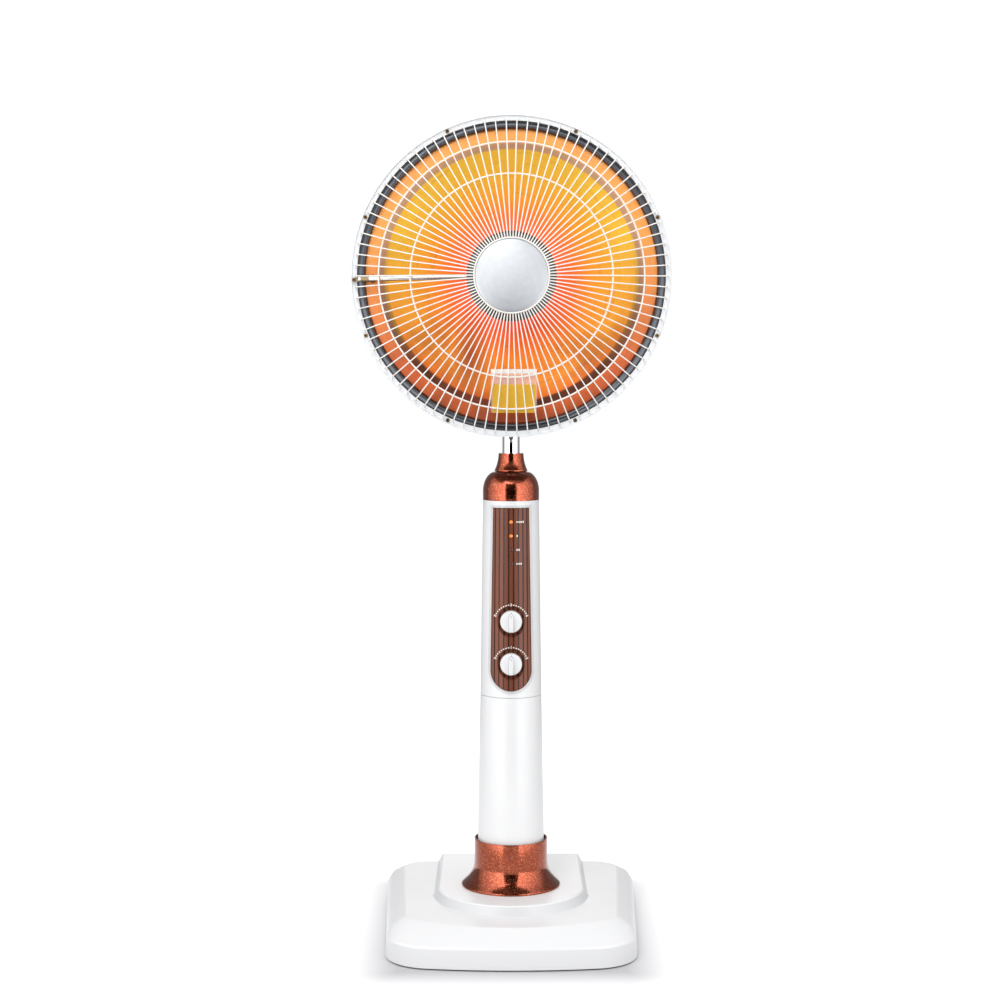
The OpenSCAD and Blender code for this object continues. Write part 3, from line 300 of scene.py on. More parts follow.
def makeMetal(color, low, high, stretch=brushLook["along"], depth=metalLook["depth"], tarnish=None):
    material, tree, inputs = newMaterial(Metallic=1.0)
    brushed = effect(tree, "brush", Stretch=stretch, Low=low, High=high)
    darker = tarnish or shaded(color, metalLook["darker"])
    plug(tree, inputs, Base_Color=mixColors(tree, effect(tree, "grain")["Mottle"], color, darker),
         Roughness=brushed["Roughness"], Normal=bump(tree, brushed["Height"], depth))
    return material


def makeSpunMetal(color, low, high, depth=metalLook["spunDepth"]):
    material, tree, inputs = newMaterial(Metallic=1.0)
    spun = effect(tree, "spin", Pitch=metalLook["pitch"], Center=dishLook["center"])
    darker = shaded(color, metalLook["spunDarker"])
    plug(tree, inputs, Base_Color=mixColors(tree, spun["Streaks"], color, darker),
         Roughness=remap(tree, spun["Height"], 0.0, 1.0, low, high),
         Normal=bump(tree, spun["Height"], depth))
    return material


plasticLook = {"lighter": 1.35, "lift": 0.004, "dustColor": srgb(168, 162, 152)}


def makePlastic(color, low=0.35, high=0.55, scale=700.0, depth=0.00008, dust=0.12, metallic=0.0):
    material, tree, inputs = newMaterial(Metallic=metallic)
    grain = effect(tree, "grain", Scale=scale, Low=low, High=high)
    lighter = shaded(color, plasticLook["lighter"], plasticLook["lift"])
    base = mixColors(tree, grain["Mottle"], color, lighter)
    settle(tree, inputs, grain, base, dust, plasticLook["dustColor"], depth)
    return material


# ranges are From Min, From Max, To Min, To Max
# the darker colour below is laid by real lathe streaks, by painted shade in patches low down and by a
# painted reflection of the darker room low on the left
dishLook = {"center": (0.0, 0.0, headZ), "pitch": 0.0011, "size": 0.2144, "upper": (-0.12, 0.06),
            "smoke": srgb(150, 84, 62), "streaks": (0.56, 0.8, 0.0, 0.3), "patches": (0.5, 0.66, 0.0, 0.55),
            "paintedReflectionAt": (-0.056, 0.0, headZ - 0.106), "paintedReflectionSize": (30, 0, 13),
            "smear": (0.0, 1.0, 0.95, 0.0), "rough": (0.0, 1.0, 0.22, 0.42), "depth": 0.00002}
# share of the radius, from the hub out over bowl, step and lip, and the colour there: the upper colours are
# painted light on the dish's top half and the lower ones painted shade on its bottom half; the red near the
# hub is a painted reflection of the element's glow, the pale band at the step's top a painted highlight and
# the dark band at its bottom painted shade
dishRings = {
    "upper": ((0.0, 224, 116, 78), (0.3, 228, 120, 78), (0.4, 244, 150, 70), (0.52, 252, 192, 66),
              (0.62, 253, 208, 74), (0.79, 254, 220, 78), (0.8, 206, 172, 138), (0.826, 206, 172, 138),
              (0.838, 248, 170, 90), (1.0, 246, 166, 86)),
    "lower": ((0.0, 220, 112, 78), (0.3, 222, 114, 78), (0.4, 238, 136, 72), (0.52, 252, 168, 68),
              (0.68, 252, 172, 68), (0.772, 240, 138, 58), (0.784, 92, 60, 48), (0.826, 92, 60, 48),
              (0.838, 216, 108, 60), (1.0, 204, 98, 56)),
}


def makeDish():
    # anodised aluminium with painted light and shade: golden in the painted light on its top half, darker
    # below, redder near the element in a painted reflection of its glow
    look = dishLook
    material, tree, inputs = newMaterial(Metallic=0.22, Coat_Weight=0.08, Coat_Roughness=0.1,
                                         Specular_IOR_Level=0.2)
    spun = effect(tree, "spin", Pitch=look["pitch"], Center=look["center"])
    place = objectPlace(tree)
    height = minus(tree, split(tree, place)["Z"], look["center"][2])
    # painted light: the top half of the dish takes the lit colours
    upper = remap(tree, height, *look["upper"])
    share = compute(tree, "DIVIDE", spun["Radius"], look["size"])
    rings = mixColors(tree, upper, colorRamp(tree, share, dishRings["lower"]),
                      colorRamp(tree, share, dishRings["upper"]))
    # painted shade: darker patches over the lower half
    patches = times(tree, remap(tree, effect(tree, "grain")["Mottle"], *look["patches"]),
                      minus(tree, 1.0, upper))
    smoke = plus(tree, remap(tree, spun["Streaks"], *look["streaks"]), patches)
    # a painted reflection of the darker room, low on the left
    step = vectorMath(tree, "SUBTRACT", place, look["paintedReflectionAt"])
    step = vectorMath(tree, "MULTIPLY", step, look["paintedReflectionSize"])
    smoke = compute(tree, "MAXIMUM", smoke, remap(tree, vectorMath(tree, "LENGTH", step), *look["smear"]))
    plug(tree, inputs, Base_Color=mixColors(tree, smoke, rings, look["smoke"]),
         Roughness=remap(tree, spun["Streaks"], *look["rough"]),
         Normal=bump(tree, spun["Height"], look["depth"]))
    return material


def makeGlow(color, glow):
    material, tree, inputs = newMaterial(Coat_Weight=0.6, Emission_Strength=glow)
    grain = effect(tree, "grain", Scale=1500.0, Low=0.08, High=0.2)
    shown = mixColors(tree, grain["Mottle"], color, shaded(color, 1.3))
    plug(tree, inputs, Base_Color=shown, Emission_Color=shown, Roughness=grain["Roughness"])
    return material


# the front of the column is a cone, with its seam below
columnLook = {"seamR": 0.04275, "topR": 0.0392, "seamZ": 0.3332, "topZ": 0.6072}
columnLean = (columnLook["seamR"] - columnLook["topR"]) / (columnLook["topZ"] - columnLook["seamZ"])
panelLook = {"rib": srgb(106, 51, 28), "glint": srgb(122, 64, 38), "groove": srgb(44, 16, 10),
             "step": radians(9.4), "grooveHalf": 0.17, "soft": 0.05, "deep": 0.0006, "peel": 0.00002}


def makePanel():
    # ribbed brown plastic, with painted shade down in the grooves
    look = panelLook
    material, tree, inputs = newMaterial(Coat_Weight=0.1, Coat_Roughness=0.3, Specular_IOR_Level=0.35)
    grain = effect(tree, "grain", Scale=900.0, Low=0.3, High=0.42)
    place = split(tree, objectPlace(tree))
    turn = compute(tree, "DIVIDE", angleFromFront(tree, place), look["step"])
    nearest = compute(tree, "ABSOLUTE", minus(tree, compute(tree, "FRACT", turn), 0.5))
    inGroove = remap(tree, nearest, look["grooveHalf"] + look["soft"], look["grooveHalf"])
    above = minus(tree, place["Z"], columnLook["seamZ"])
    skin = minus(tree, columnLook["seamR"], times(tree, above, columnLean))
    depth = remap(tree, minus(tree, skin, reach(tree, place["X"], place["Y"])), 0.0, look["deep"])
    base = mixColors(tree, grain["Mottle"], look["rib"], look["glint"])
    # painted shade: darkest in the grooves, where the surface lies below the column's skin
    shade = times(tree, inGroove, depth)
    plug(tree, inputs, Base_Color=mixColors(tree, shade, base, look["groove"]),
         Roughness=grain["Roughness"], Normal=bump(tree, grain["Height"], look["peel"]))
    return material


lampLook = {"radius": 0.0024, "proud": 0.0007, "back": 0.0283, "edge": 0.0001, "rise": 0.6, "steps": 6,
            "around": 28, "topZ": 0.5786, "pitch": 0.0193}


def makeLens(middle, edge, glow):
    # a small dyed lens, palest at the middle of its dome: a painted highlight there and painted shade
    # towards its edge, which on the lit lenses also tints their glow
    look = lampLook
    material, tree, inputs = newMaterial(Coat_Weight=0.8, Coat_Roughness=0.08, Emission_Strength=glow)
    grain = effect(tree, "grain", Scale=1500.0, Low=0.1, High=0.2)
    place = split(tree, objectPlace(tree))
    rows = compute(tree, "DIVIDE", minus(tree, look["topZ"], place["Z"]), look["pitch"])
    rise = minus(tree, rows, compute(tree, "ROUND", rows))
    out = reach(tree, place["X"], times(tree, rise, look["pitch"]))
    tone = mixColors(tree, remap(tree, out, 0.0, look["radius"]), middle, edge)
    plug(tree, inputs, Base_Color=tone, Roughness=grain["Roughness"])
    if glow:
        plug(tree, inputs, Emission_Color=tone)
    return material


def makeFilm():
    # the clear plastic pocket that holds the plate
    material, tree, inputs = newMaterial(Base_Color=srgb(255, 236, 230), Alpha=0.34,
                                         Coat_Weight=0.5, Coat_Roughness=0.06)
    grain = effect(tree, "grain", Scale=300.0, Low=0.12, High=0.24)
    plug(tree, inputs, Roughness=grain["Roughness"], Normal=bump(tree, grain["Mottle"], 0.0002))
    return material


materials = {
    "white_cover": makeWhiteGloss(249, 249, 250, dust=0.02),
    # greyer copies of the white, painted shade: for the base's plateau and walls and the bezel, and,
    # darker, for the grips' sides
    "white_plateau": makeWhiteGloss(243, 243, 244, dust=0.02),
    "white_wall": makeWhiteGloss(226, 226, 227, dust=0.02),
    "white_side": makeWhiteGloss(196, 196, 199),
    "white_column": makeWhiteGloss(255, 255, 255),
    "white_knob": makeWhiteGloss(255, 255, 255),
    "white_rim": makeWhiteGloss(250, 253, 255),
    "white_wire": makeWhiteGloss(255, 252, 246),
    "copper_paint": makeCopper(),
    "brown_panel": makePanel(),
    "black_plastic": makePlastic(srgb(30, 30, 32)),
    "black_paint": makePlastic(srgb(38, 38, 40), 0.25, 0.42, depth=0.00005),
    "amber_lamp": makeLens(srgb(255, 170, 70), srgb(214, 84, 12), 0.6),
    "clear_lamp": makeLens(srgb(128, 82, 62), srgb(70, 34, 24), 0.0),
    "circuit_board": makePlastic(srgb(24, 84, 52)),
    "bare_steel": makeMetal(srgb(176, 176, 178), 0.25, 0.42),
    "screw_steel": makeMetal(srgb(150, 150, 152), 0.25, 0.4, stretch=(1400, 1400, 1400)),
    "cast_iron": makePlastic(srgb(54, 54, 56), 0.5, 0.7, scale=350, depth=0.0003, metallic=0.6),
    "chrome": makeMetal(srgb(226, 227, 230), 0.04, 0.1, stretch=(500, 500, 6), depth=0.000003),
    "dark_chrome": makeSpunMetal(srgb(84, 87, 92), 0.26, 0.38, depth=0.000004),
    "silver_disc": makeSpunMetal(srgb(186, 189, 193), 0.42, 0.52),
    "gold_dish": makeDish(),
    "dish_back": makeSpunMetal(srgb(158, 150, 143), 0.3, 0.45),
    "yellow_plate": makePlastic(srgb(212, 166, 40), 0.2, 0.34, depth=0.00003, dust=0.0),
    "clear_film": makeFilm(),
    "brass_screws": makeMetal(srgb(120, 100, 70), 0.3, 0.5, tarnish=srgb(60, 50, 40)),
    "brass_fitting": makeMetal(srgb(128, 112, 88), 0.25, 0.4),
    "rod_chrome": makeMetal(srgb(188, 186, 182), 0.12, 0.24, stretch=brushLook["across"]),
    "ceramic": makePlastic(srgb(226, 220, 204), 0.5, 0.7, depth=0.0001),
    "glowing_coil": makeGlow(srgb(255, 120, 44), 2.3),
    "lead_sleeve": makePlastic(srgb(220, 214, 200), 0.6, 0.8, scale=2400, depth=0.0003),
    "rubber": makePlastic(srgb(26, 26, 27), 0.5, 0.7, scale=500, depth=0.0001),
}
for slot, material in materials.items():
    material.name = camel(slot)
print("finishes made:", len(materials))

for part in frame["record"]["subparts"]:
    slots = nodes[part["node"]].data.materials
    slots.clear()
    slots.append(materials[part["material_slot"]])
nodes["support_rod"].data.materials[0] = materials["rod_chrome"]


# modelling helpers
bodyOf = {node: body for body, members in frame["record"]["behaviour"]["bodies"].items()
          for node in members}
slotOf = {part["node"]: part["material_slot"] for part in frame["record"]["subparts"]}
tiny = 1e-6   # closer than this is the same place


def shares(steps):
    return [i / steps for i in range(steps + 1)]


def meshFrom(name, bm):
    mesh = bpy.data.meshes.new(name)
    bm.to_mesh(mesh)
    bm.free()
    return mesh


def addObject(name, data):
    made = bpy.data.objects.new(name, data)
    scene.collection.objects.link(made)
    return made


def newPiece(name, bm, node, replaced=(), slot=None, sharp=35, finish=None):
    # the piece takes the body and the finish of the CAD node that it stands for or sits on
    mesh = meshFrom(name, bm)
    mesh.shade_smooth()
    mesh.set_sharp_from_angle(angle=radians(sharp))
    mesh.materials.append(materials[finish or slot or slotOf[node]])
    piece = addObject(name, mesh)
    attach(piece, bodyOf[node])
    if replaced:
        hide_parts(*replaced)
    return piece


def standIn(bm, node, name=None, **settings):
    # a piece in the CAD node's place, under the node's own name if it has no other
    return newPiece(name or camel(node), bm, node, [node], **settings)


def roundEdges(bm, width, segments=3, angle=30, edges=None):
    chosen = edges or [edge for edge in bm.edges
                       if len(edge.link_faces) == 2 and edge.calc_face_angle() > radians(angle)]
    bmesh.ops.bevel(bm, geom=chosen, offset=width, offset_type="OFFSET", segments=segments,
                    profile=0.5, affect="EDGES", clamp_overlap=True, material=-1)


def turned(profile, steps=144, height=None, closed=True, width=0.0, segments=3, angle=30):
    # spins (radius, height) points round the column or, at a height, (radius, forward) ones round y
    bm = bmesh.new()
    level = height is not None
    verts = [bm.verts.new((r, -along, height) if level else (r, 0, along)) for r, along in profile]
    edges = [bm.edges.new(pair) for pair in zip(verts, verts[1:])]
    if closed:
        edges.append(bm.edges.new((verts[-1], verts[0])))
    bmesh.ops.spin(bm, geom=verts + edges, cent=(0, 0, height or 0),
                   axis=(0, 1, 0) if level else (0, 0, 1), angle=2 * pi, steps=steps, use_merge=True)
    bmesh.ops.remove_doubles(bm, verts=bm.verts, dist=tiny)
    bmesh.ops.recalc_face_normals(bm, faces=bm.faces)
    if width:
        roundEdges(bm, width, segments, angle)
    return bm


def addModifier(piece, kind, **settings):
    modifier = piece.modifiers.new(kind.lower(), kind)
    for key, value in settings.items():
        setattr(modifier, key, value)


def shift(bm, step, verts=None):
    bmesh.ops.translate(bm, vec=step, verts=verts or bm.verts)


def vertsOf(items):
    return [item for item in items if isinstance(item, bmesh.types.BMVert)]


def sweepVert(bm, vert, center, angle, steps):
    # draws an arc of edges from a vertex and returns the vertex at its end
    return vertsOf(bmesh.ops.spin(bm, geom=[vert], cent=(*center, vert.co.z), axis=(0, 0, 1), angle=angle,
                                  steps=steps)["geom_last"])[0]


def lineTo(bm, vert, place):
    end = bmesh.ops.extrude_vert_indiv(bm, verts=[vert])["verts"][0]
    end.co = (*place, vert.co.z)
    return end


# base
# plans: front and back line, their widths, radius of the bow and of the corners
baseLook = {"plan": (0.212, 0.206, 0.333, 0.374, 0.76, 0.066), "foot": 0.002, "edge": 0.0295,
            "edgeIn": 0.0015, "wall": 0.0025}
crownLook = {"plan": (0.195, 0.195, 0.314, 0.356, 0.359, 0.055), "height": 0.0408}
plateauLook = {"plan": (0.178, 0.176, 0.281, 0.322, 0.235, 0.036), "height": 0.049}
platformLook = {"radius": 0.1014, "centerY": -0.015, "back": 0.174, "slope": 0.007, "height": 0.0614,
                "hole": 0.046}
baseRounds = {"crease": 0.0026, "plateau": 0.0022, "valley": 0.002, "platform": 0.0018}
loopSteps = {"bow": 24, "corner": 12, "platform": 30, "hole": 30}
# what counts as flat, as a wall and as level with the plateau, and the least angle of a crease
baseLimits = {"flat": 0.999, "wall": 0.55, "level": 1e-4, "crease": 0.1}


def planLoop(bm, height, plan, inset=0.0):
    # the right half of a plan: a bowed front, a round corner, a straight side and a round back corner
    front, back, frontW, backW, bow, corner = plan
    lean = atan2((backW - frontW) / 2, front + back)
    out, along = Vector((cos(lean), -sin(lean))), Vector((sin(lean), cos(lean)))
    line = out.dot(Vector((frontW / 2 - inset, -front)))
    front, back, bow, corner = (measure - inset for measure in (front, back, bow, corner))
    bowCenter = Vector((0, bow - front))
    foot = (line - corner) * out - bowCenter
    slide = -foot.dot(along) - sqrt(foot.dot(along) ** 2 - foot.dot(foot) + (bow - corner) ** 2)
    frontCenter = bowCenter + foot + slide * along
    spread = atan2(frontCenter.x, bowCenter.y - frontCenter.y)
    backCenter = (line - corner) * out
    backCenter += along * ((back - corner - backCenter.y) / along.y)
    first = bm.verts.new((0, -front, height))
    vert = sweepVert(bm, first, bowCenter, spread, loopSteps["bow"])
    vert = sweepVert(bm, vert, frontCenter, pi / 2 - lean - spread, loopSteps["corner"])
    vert = lineTo(bm, vert, backCenter + corner * out)
    vert = sweepVert(bm, vert, backCenter, pi / 2 + lean, loopSteps["corner"])
    lineTo(bm, vert, (0, back))
    return first


def platformLoop(bm, height, grow):
    look = platformLook
    radius = look["radius"] + grow
    first = bm.verts.new((0, look["centerY"] - radius, height))
    vert = sweepVert(bm, first, (0, look["centerY"]), pi / 2, loopSteps["platform"])
    vert = lineTo(bm, vert, (radius, look["back"]))
    lineTo(bm, vert, (0, look["back"]))
    return first


def holeLoop(bm, height, radius):
    first = bm.verts.new((0, -radius, height))
    sweepVert(bm, first, (0, 0), pi, loopSteps["hole"])
    return first


def chainEdges(first):
    # the edges of an open loop that starts at this vertex
    chain, vert = [], first
    while True:
        ahead = [edge for edge in vert.link_edges if edge not in chain]
        if not ahead:
            return chain
        chain.append(ahead[0])
        vert = ahead[0].other_vert(vert)


def levelEdges(bm, height, convex):
    # the creases that run round at one height
    return [edge for edge in bm.edges if len(edge.link_faces) == 2 and edge.is_convex == convex
            and all(abs(vert.co.z - height) < tiny for vert in edge.verts)
            and edge.calc_face_angle() > baseLimits["crease"]]


def makeBaseCover():
    bm = bmesh.new()
    edge, plateau, top = baseLook["edge"], plateauLook["height"], platformLook["height"]
    starts = [planLoop(bm, baseLook["foot"], baseLook["plan"]),
              planLoop(bm, edge, baseLook["plan"], baseLook["edgeIn"]),
              planLoop(bm, crownLook["height"], crownLook["plan"]),
              planLoop(bm, plateau, plateauLook["plan"]),
              platformLoop(bm, plateau, platformLook["slope"]), platformLoop(bm, top, 0.0),
              holeLoop(bm, top, platformLook["hole"])]
    chains = [chainEdges(first) for first in starts]
    for low, high in ((0, 1), (1, 2), (2, 3), (4, 5)):
        bmesh.ops.bridge_loops(bm, edges=chains[low] + chains[high])
    for outer, inner in ((3, 4), (5, 6)):
        # a flat ring, made as one face on each side so that the creases round well
        ends = [max((v for e in chains[i] for v in e.verts), key=lambda v: (abs(v.co.x) < tiny, v.co.y))
                for i in (outer, inner)]
        links = [bm.edges.new((starts[outer], starts[inner])), bm.edges.new(ends)]
        bmesh.ops.contextual_create(bm, geom=chains[outer] + links + chains[inner])
    bmesh.ops.mirror(bm, geom=bm.verts[:] + bm.edges[:] + bm.faces[:], axis="X", merge_dist=1e-5)
    bmesh.ops.recalc_face_normals(bm, faces=bm.faces)
    for name, height, convex in (("crease", edge, True), ("plateau", plateau, True),
                                 ("valley", plateau, False), ("platform", top, True)):
        roundEdges(bm, baseRounds[name], segments=5, edges=levelEdges(bm, height, convex))
    bm.normal_update()
    # painted shade: the flat plateau takes a slightly greyer white, and the platform's wall and its foot a
    # greyer one still
    for face in bm.faces:
        rise, slant = face.calc_center_median().z - plateau, face.normal.z
        if abs(rise) < baseLimits["level"] and slant > baseLimits["flat"]:
            face.material_index = 1
        elif 0 < rise < top - plateau and (slant < baseLimits["wall"] or rise < baseRounds["valley"]):
            face.material_index = 2
    cover = standIn(bm, "base_cover", sharp=60)
    for finish in ("white_plateau", "white_wall"):
        cover.data.materials.append(materials[finish])
    addModifier(cover, "SOLIDIFY", thickness=baseLook["wall"], offset=-1.0)
    addModifier(cover, "WEIGHTED_NORMAL", keep_sharp=True)


makeBaseCover()
print("base modelled")


# copper pieces
collarLook = {"radius": 0.0514, "top": 0.1288, "flareFrom": 0.092, "footR": 0.0695, "wall": 0.0018,
              "foot": 0.0614, "lip": 0.0022, "round": 0.0006, "curve": 1.75, "steps": 14}
capLook = {"radius": 0.0392, "seat": 0.6072, "straight": 0.0128, "height": 0.0399, "curveR": 0.02,
           "sweep": radians(82), "hole": 0.0157, "wall": 0.0022, "round": 0.0006, "steps": 18}
lockLook = {"footR": 0.023, "topR": 0.0174, "foot": 0.6474, "height": 0.0249, "bore": 0.0124,
            "neck": 0.0033, "rim": 0.006, "inside": (0.007, 0.005), "band": 0.0008, "round": 0.0004,
            "curve": 2.0, "steps": 14}


def makeBaseCollar():
    look, steps = collarLook, shares(collarLook["steps"])
    radius, foot, wall, lip = (look[key] for key in ("radius", "foot", "wall", "lip"))
    flare = [(radius + (look["footR"] - radius) * t ** look["curve"],
              look["flareFrom"] - (look["flareFrom"] - foot - lip) * t) for t in steps]
    inner = [(r - wall, z - lip * t) for (r, z), t in zip(flare, steps)]
    profile = [(radius - wall, look["top"]), (radius, look["top"]), *flare, (look["footR"], foot),
               *inner[::-1]]
    standIn(turned(profile, width=look["round"]), "base_collar")


def makeColumnCap():
    look = capLook
    radius, seat, wall, curveR = (look[key] for key in ("radius", "seat", "wall", "curveR"))
    straight, top = seat + look["straight"], seat + look["height"]
    angles = [look["sweep"] * t for t in shares(look["steps"])]
    dome = [(curveR + (radius - curveR) * cos(t), straight + (top - straight) * sin(t)) for t in angles]
    inner = [(r - wall * cos(t), z - wall * sin(t)) for (r, z), t in zip(dome, angles)]
    profile = [(radius - wall, seat), (radius, seat), *dome, (curveR, top), (look["hole"], top),
               (look["hole"], top - wall), *inner[::-1]]
    standIn(turned(profile, width=look["round"]), "column_cap")


def makeLockCollar():
    look = lockLook
    footR, foot, bore, band = (look[key] for key in ("footR", "foot", "bore", "band"))
    top = foot + look["height"]
    side = [(look["topR"] + (footR - look["topR"]) * (1 - t) ** look["curve"],
             foot + band + (look["height"] - band) * t) for t in shares(look["steps"])]
    inward, down = look["inside"]
    profile = [(footR - look["rim"], foot), (footR, foot), *side, (bore, top), (bore, top - look["neck"]),
               (footR - inward, top - down)]
    standIn(turned(profile, width=look["round"]), "lock_collar")


makeBaseCollar()
makeColumnCap()
makeLockCollar()
print("copper pieces modelled")


# dish and rim: distances forward of the head's own zero
bowlLook = {"apex": 0.025, "focal": 0.116, "radius": 0.167, "step": 0.0099, "lipR": 0.178, "edgeR": 0.2127,
            "sheet": 0.0012, "round": 0.0016, "crease": radians(12), "near": 1e-4, "steps": 30,
            "turnsBack": 0.3}
rimLook = {"inner": 0.2063, "outer": 0.2144, "flange": 0.1012, "wall": 0.0014, "front": 0.1027,
           "back": 0.0857, "lip": 0.1057, "round": 0.0005}
shieldLook = {"radius": 0.06, "front": 0.1239, "depth": 0.018, "wall": 0.0012, "dish": 0.0015,
              "dishR": 0.048, "beadR": 0.0516, "edge": 0.003, "bead": 0.0012}
discLook = {"radius": 0.0481, "rise": 0.004, "proud": 0.001, "back": -0.0015, "wall": 0.0013,
            "lipR": 0.0504, "seatR": 0.0496, "round": 0.0005, "steps": 16}
domeLook = {"radius": 0.9, "top": 0.142}


def bowlW(r):
    return bowlLook["apex"] + r ** 2 / (4 * bowlLook["focal"])


def makeReflector():
    look = bowlLook
    lipW = bowlW(look["radius"]) + look["step"]
    face = [(r, bowlW(r)) for r in (look["radius"] * t for t in shares(look["steps"]))]
    face += [(look["lipR"], lipW), (look["edgeR"], lipW)]
    profile = face + [(r, w - look["sheet"]) for r, w in face[::-1]]
    bm = turned(profile, height=headZ, closed=False, steps=180)
    low, high = look["radius"] - look["near"], look["lipR"] + look["near"]
    creases = [e for e in bm.edges if len(e.link_faces) == 2 and e.calc_face_angle() > look["crease"]
               and all(low < hypot(v.co.x, v.co.z - headZ) < high for v in e.verts)]
    roundEdges(bm, look["round"], 3, edges=creases)
    bm.normal_update()
    for face in bm.faces:
        face.material_index = int(face.normal.y > look["turnsBack"])
    bowl = standIn(bm, "reflector", "dishBowl")
    bowl.data.materials.append(materials["dish_back"])


def makeRimBand():
    look = rimLook
    inside, inner, outer = look["outer"] - look["wall"], look["inner"], look["outer"]
    profile = [(inner, look["flange"]), (inside, look["flange"]), (inside, look["back"]),
               (outer, look["back"]), (outer, look["lip"]), (inside, look["lip"]), (inside, look["front"]),
               (inner, look["front"])]
    standIn(turned(profile, height=headZ, steps=240, width=look["round"]), "rim_band")


def makeShield():
    look = shieldLook
    front, radius, wall = look["front"], look["radius"], look["wall"]
    back, sunk, edge = front - look["depth"], front - look["dish"], look["edge"]
    profile = [(0, sunk), (look["dishR"], sunk), (look["beadR"], front), (radius - edge, front),
               (radius, front - edge), (radius, back), (radius - wall, back),
               (radius - wall, front - edge - wall / 2), (radius - edge, front - wall),
               (look["beadR"], front - wall), (look["dishR"], sunk - wall), (0, sunk - wall)]
    bm = turned(profile, height=headZ, closed=False, width=look["bead"], angle=20)
    standIn(bm, "element_shield")


def makeHubDisc():
    look = discLook
    radius, back, wall = look["radius"], look["back"], look["wall"]
    hubW = domeLook["top"] - domeLook["radius"] * (1 - cos(asin(look["seatR"] / domeLook["radius"])))
    face = [(radius * t, look["rise"] * (1 - t ** 2) + look["proud"]) for t in shares(look["steps"])]
    inner = [(r * (1 - wall / radius), w - wall) for r, w in face]
    profile = [*face, (radius, back), (look["lipR"], back), (look["lipR"], back - wall),
               (inner[-1][0], back - wall), *inner[::-1]]
    bm = turned([(r, w + hubW) for r, w in profile], height=headZ, closed=False, width=look["round"])
    standIn(bm, "hub_disc")


makeReflector()
makeRimBand()
makeShield()
makeHubDisc()
print("dish and rim modelled")


# panel: lamps, printed marks and knobs
printLook = {"proud": 0.0003, "thick": 0.00012, "lift": 0.00002, "facet": 0.0014}
scaleLook = {"radius": 0.0232, "long": 0.0021, "wide": 0.0014, "reach": 71.0, "ticks": 8, "figure": 0.0048,
             "bold": 0.00022}
lampMarks = {"left": 0.0082, "wide": 0.0017, "gap": 0.0011, "tall": 0.0028, "least": 0.6,
             "rows": (4, 1, 2, 3)}


def columnR(z):
    return columnLook["seamR"] - columnLean * (z - columnLook["seamZ"])


def middleZ(node):
    low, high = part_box(node)
    return (low[2] + high[2]) / 2


def addPlate(bm, size, place, turn=0.0):
    # a thin rectangle in the XZ plane, turned clockwise, its face to the front
    made = bmesh.ops.create_cube(bm, size=1)["verts"]
    bmesh.ops.scale(bm, vec=(size[0], printLook["thick"], size[1]), verts=made)
    bmesh.ops.rotate(bm, cent=(0, 0, 0), matrix=Matrix.Rotation(turn, 3, "Y"), verts=made)
    shift(bm, (place[0], 0, place[1]), made)


def addFigure(bm, text, size, place, turn):
    curve = bpy.data.curves.new("figure", "FONT")
    curve.body, curve.size = text, size
    curve.align_x = curve.align_y = "CENTER"
    curve.extrude, curve.offset, curve.resolution_u = printLook["thick"] / 2, scaleLook["bold"], 2
    holder = addObject("figure", curve)
    bpy.context.view_layer.update()
    flat = bpy.data.meshes.new_from_object(holder.evaluated_get(bpy.context.evaluated_depsgraph_get()))
    flat.transform(Matrix.Translation((place[0], 0, place[1])) @ Matrix.Rotation(turn, 4, "Y")
                   @ Matrix.Rotation(radians(90), 4, "X"))
    bm.from_mesh(flat)
    bpy.data.objects.remove(holder)
    bpy.data.meshes.remove(flat)


def wrapPrint(bm):
    # lays flat marks on the cone of the column's front
    look = printLook
    bmesh.ops.subdivide_edges(bm, edges=[e for e in bm.edges if e.calc_length() > look["facet"]], cuts=1)
    for vert in bm.verts:
        r = columnR(vert.co.z) + look["proud"] + look["lift"] + look["thick"] / 2
        vert.co.y -= sqrt(r ** 2 - vert.co.x ** 2)


def onDial(z, turn):
    return scaleLook["radius"] * sin(turn), z + scaleLook["radius"] * cos(turn)


def makeScale(name, node, figures):
    look, z, bm = scaleLook, middleZ(node), bmesh.new()
    for side in (-1, 1):
        for i in range(1, look["ticks"]):
            turn = radians(side * look["reach"] * i / look["ticks"])
            addPlate(bm, (look["long"], look["wide"]), onDial(z, turn), turn)
    for side, text in zip((-1, 0, 1), figures):
        turn = radians(side * look["reach"])
        addFigure(bm, text, look["figure"], onDial(z, turn), turn)
    wrapPrint(bm)
    newPiece(name, bm, "control_panel", slot="white_wire")


def makeLampMarks(lampZ):
    look, bm = lampMarks, bmesh.new()
    for z, bars in zip(lampZ, look["rows"]):
        for i in range(bars):
            x = look["left"] + (look["wide"] + look["gap"]) * i
            tall = look["tall"] * (look["least"] + (1 - look["least"]) * (i + 1) / bars)
            addPlate(bm, (look["wide"], tall), (x, z))
    wrapPrint(bm)
    newPiece("lampMarks", bm, "control_panel", slot="white_wire")


def lampHeights(node):
    # the lamps of a node stand in pairs, a lamp's radius inside its box
    low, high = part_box(node)
    return [high[2] - lampLook["radius"], low[2] + lampLook["radius"]]


def makeLenses(name, node):
    look, bm = lampLook, bmesh.new()
    radius, rise = look["radius"], look["rise"] * look["proud"]
    angles = [pi / 2 * t for t in shares(look["steps"])[:-1]]
    for z in lampHeights(node):
        front = columnR(z) + look["edge"]
        dome = [(radius * cos(t), front + rise * sin(t)) for t in angles]
        profile = [(0, look["back"]), (radius, look["back"]), *dome, (0, front + rise)]
        mesh = meshFrom("lens", turned(profile, steps=look["around"], height=z, closed=False))
        bm.from_mesh(mesh)
        bpy.data.meshes.remove(mesh)
    standIn(bm, node, name)


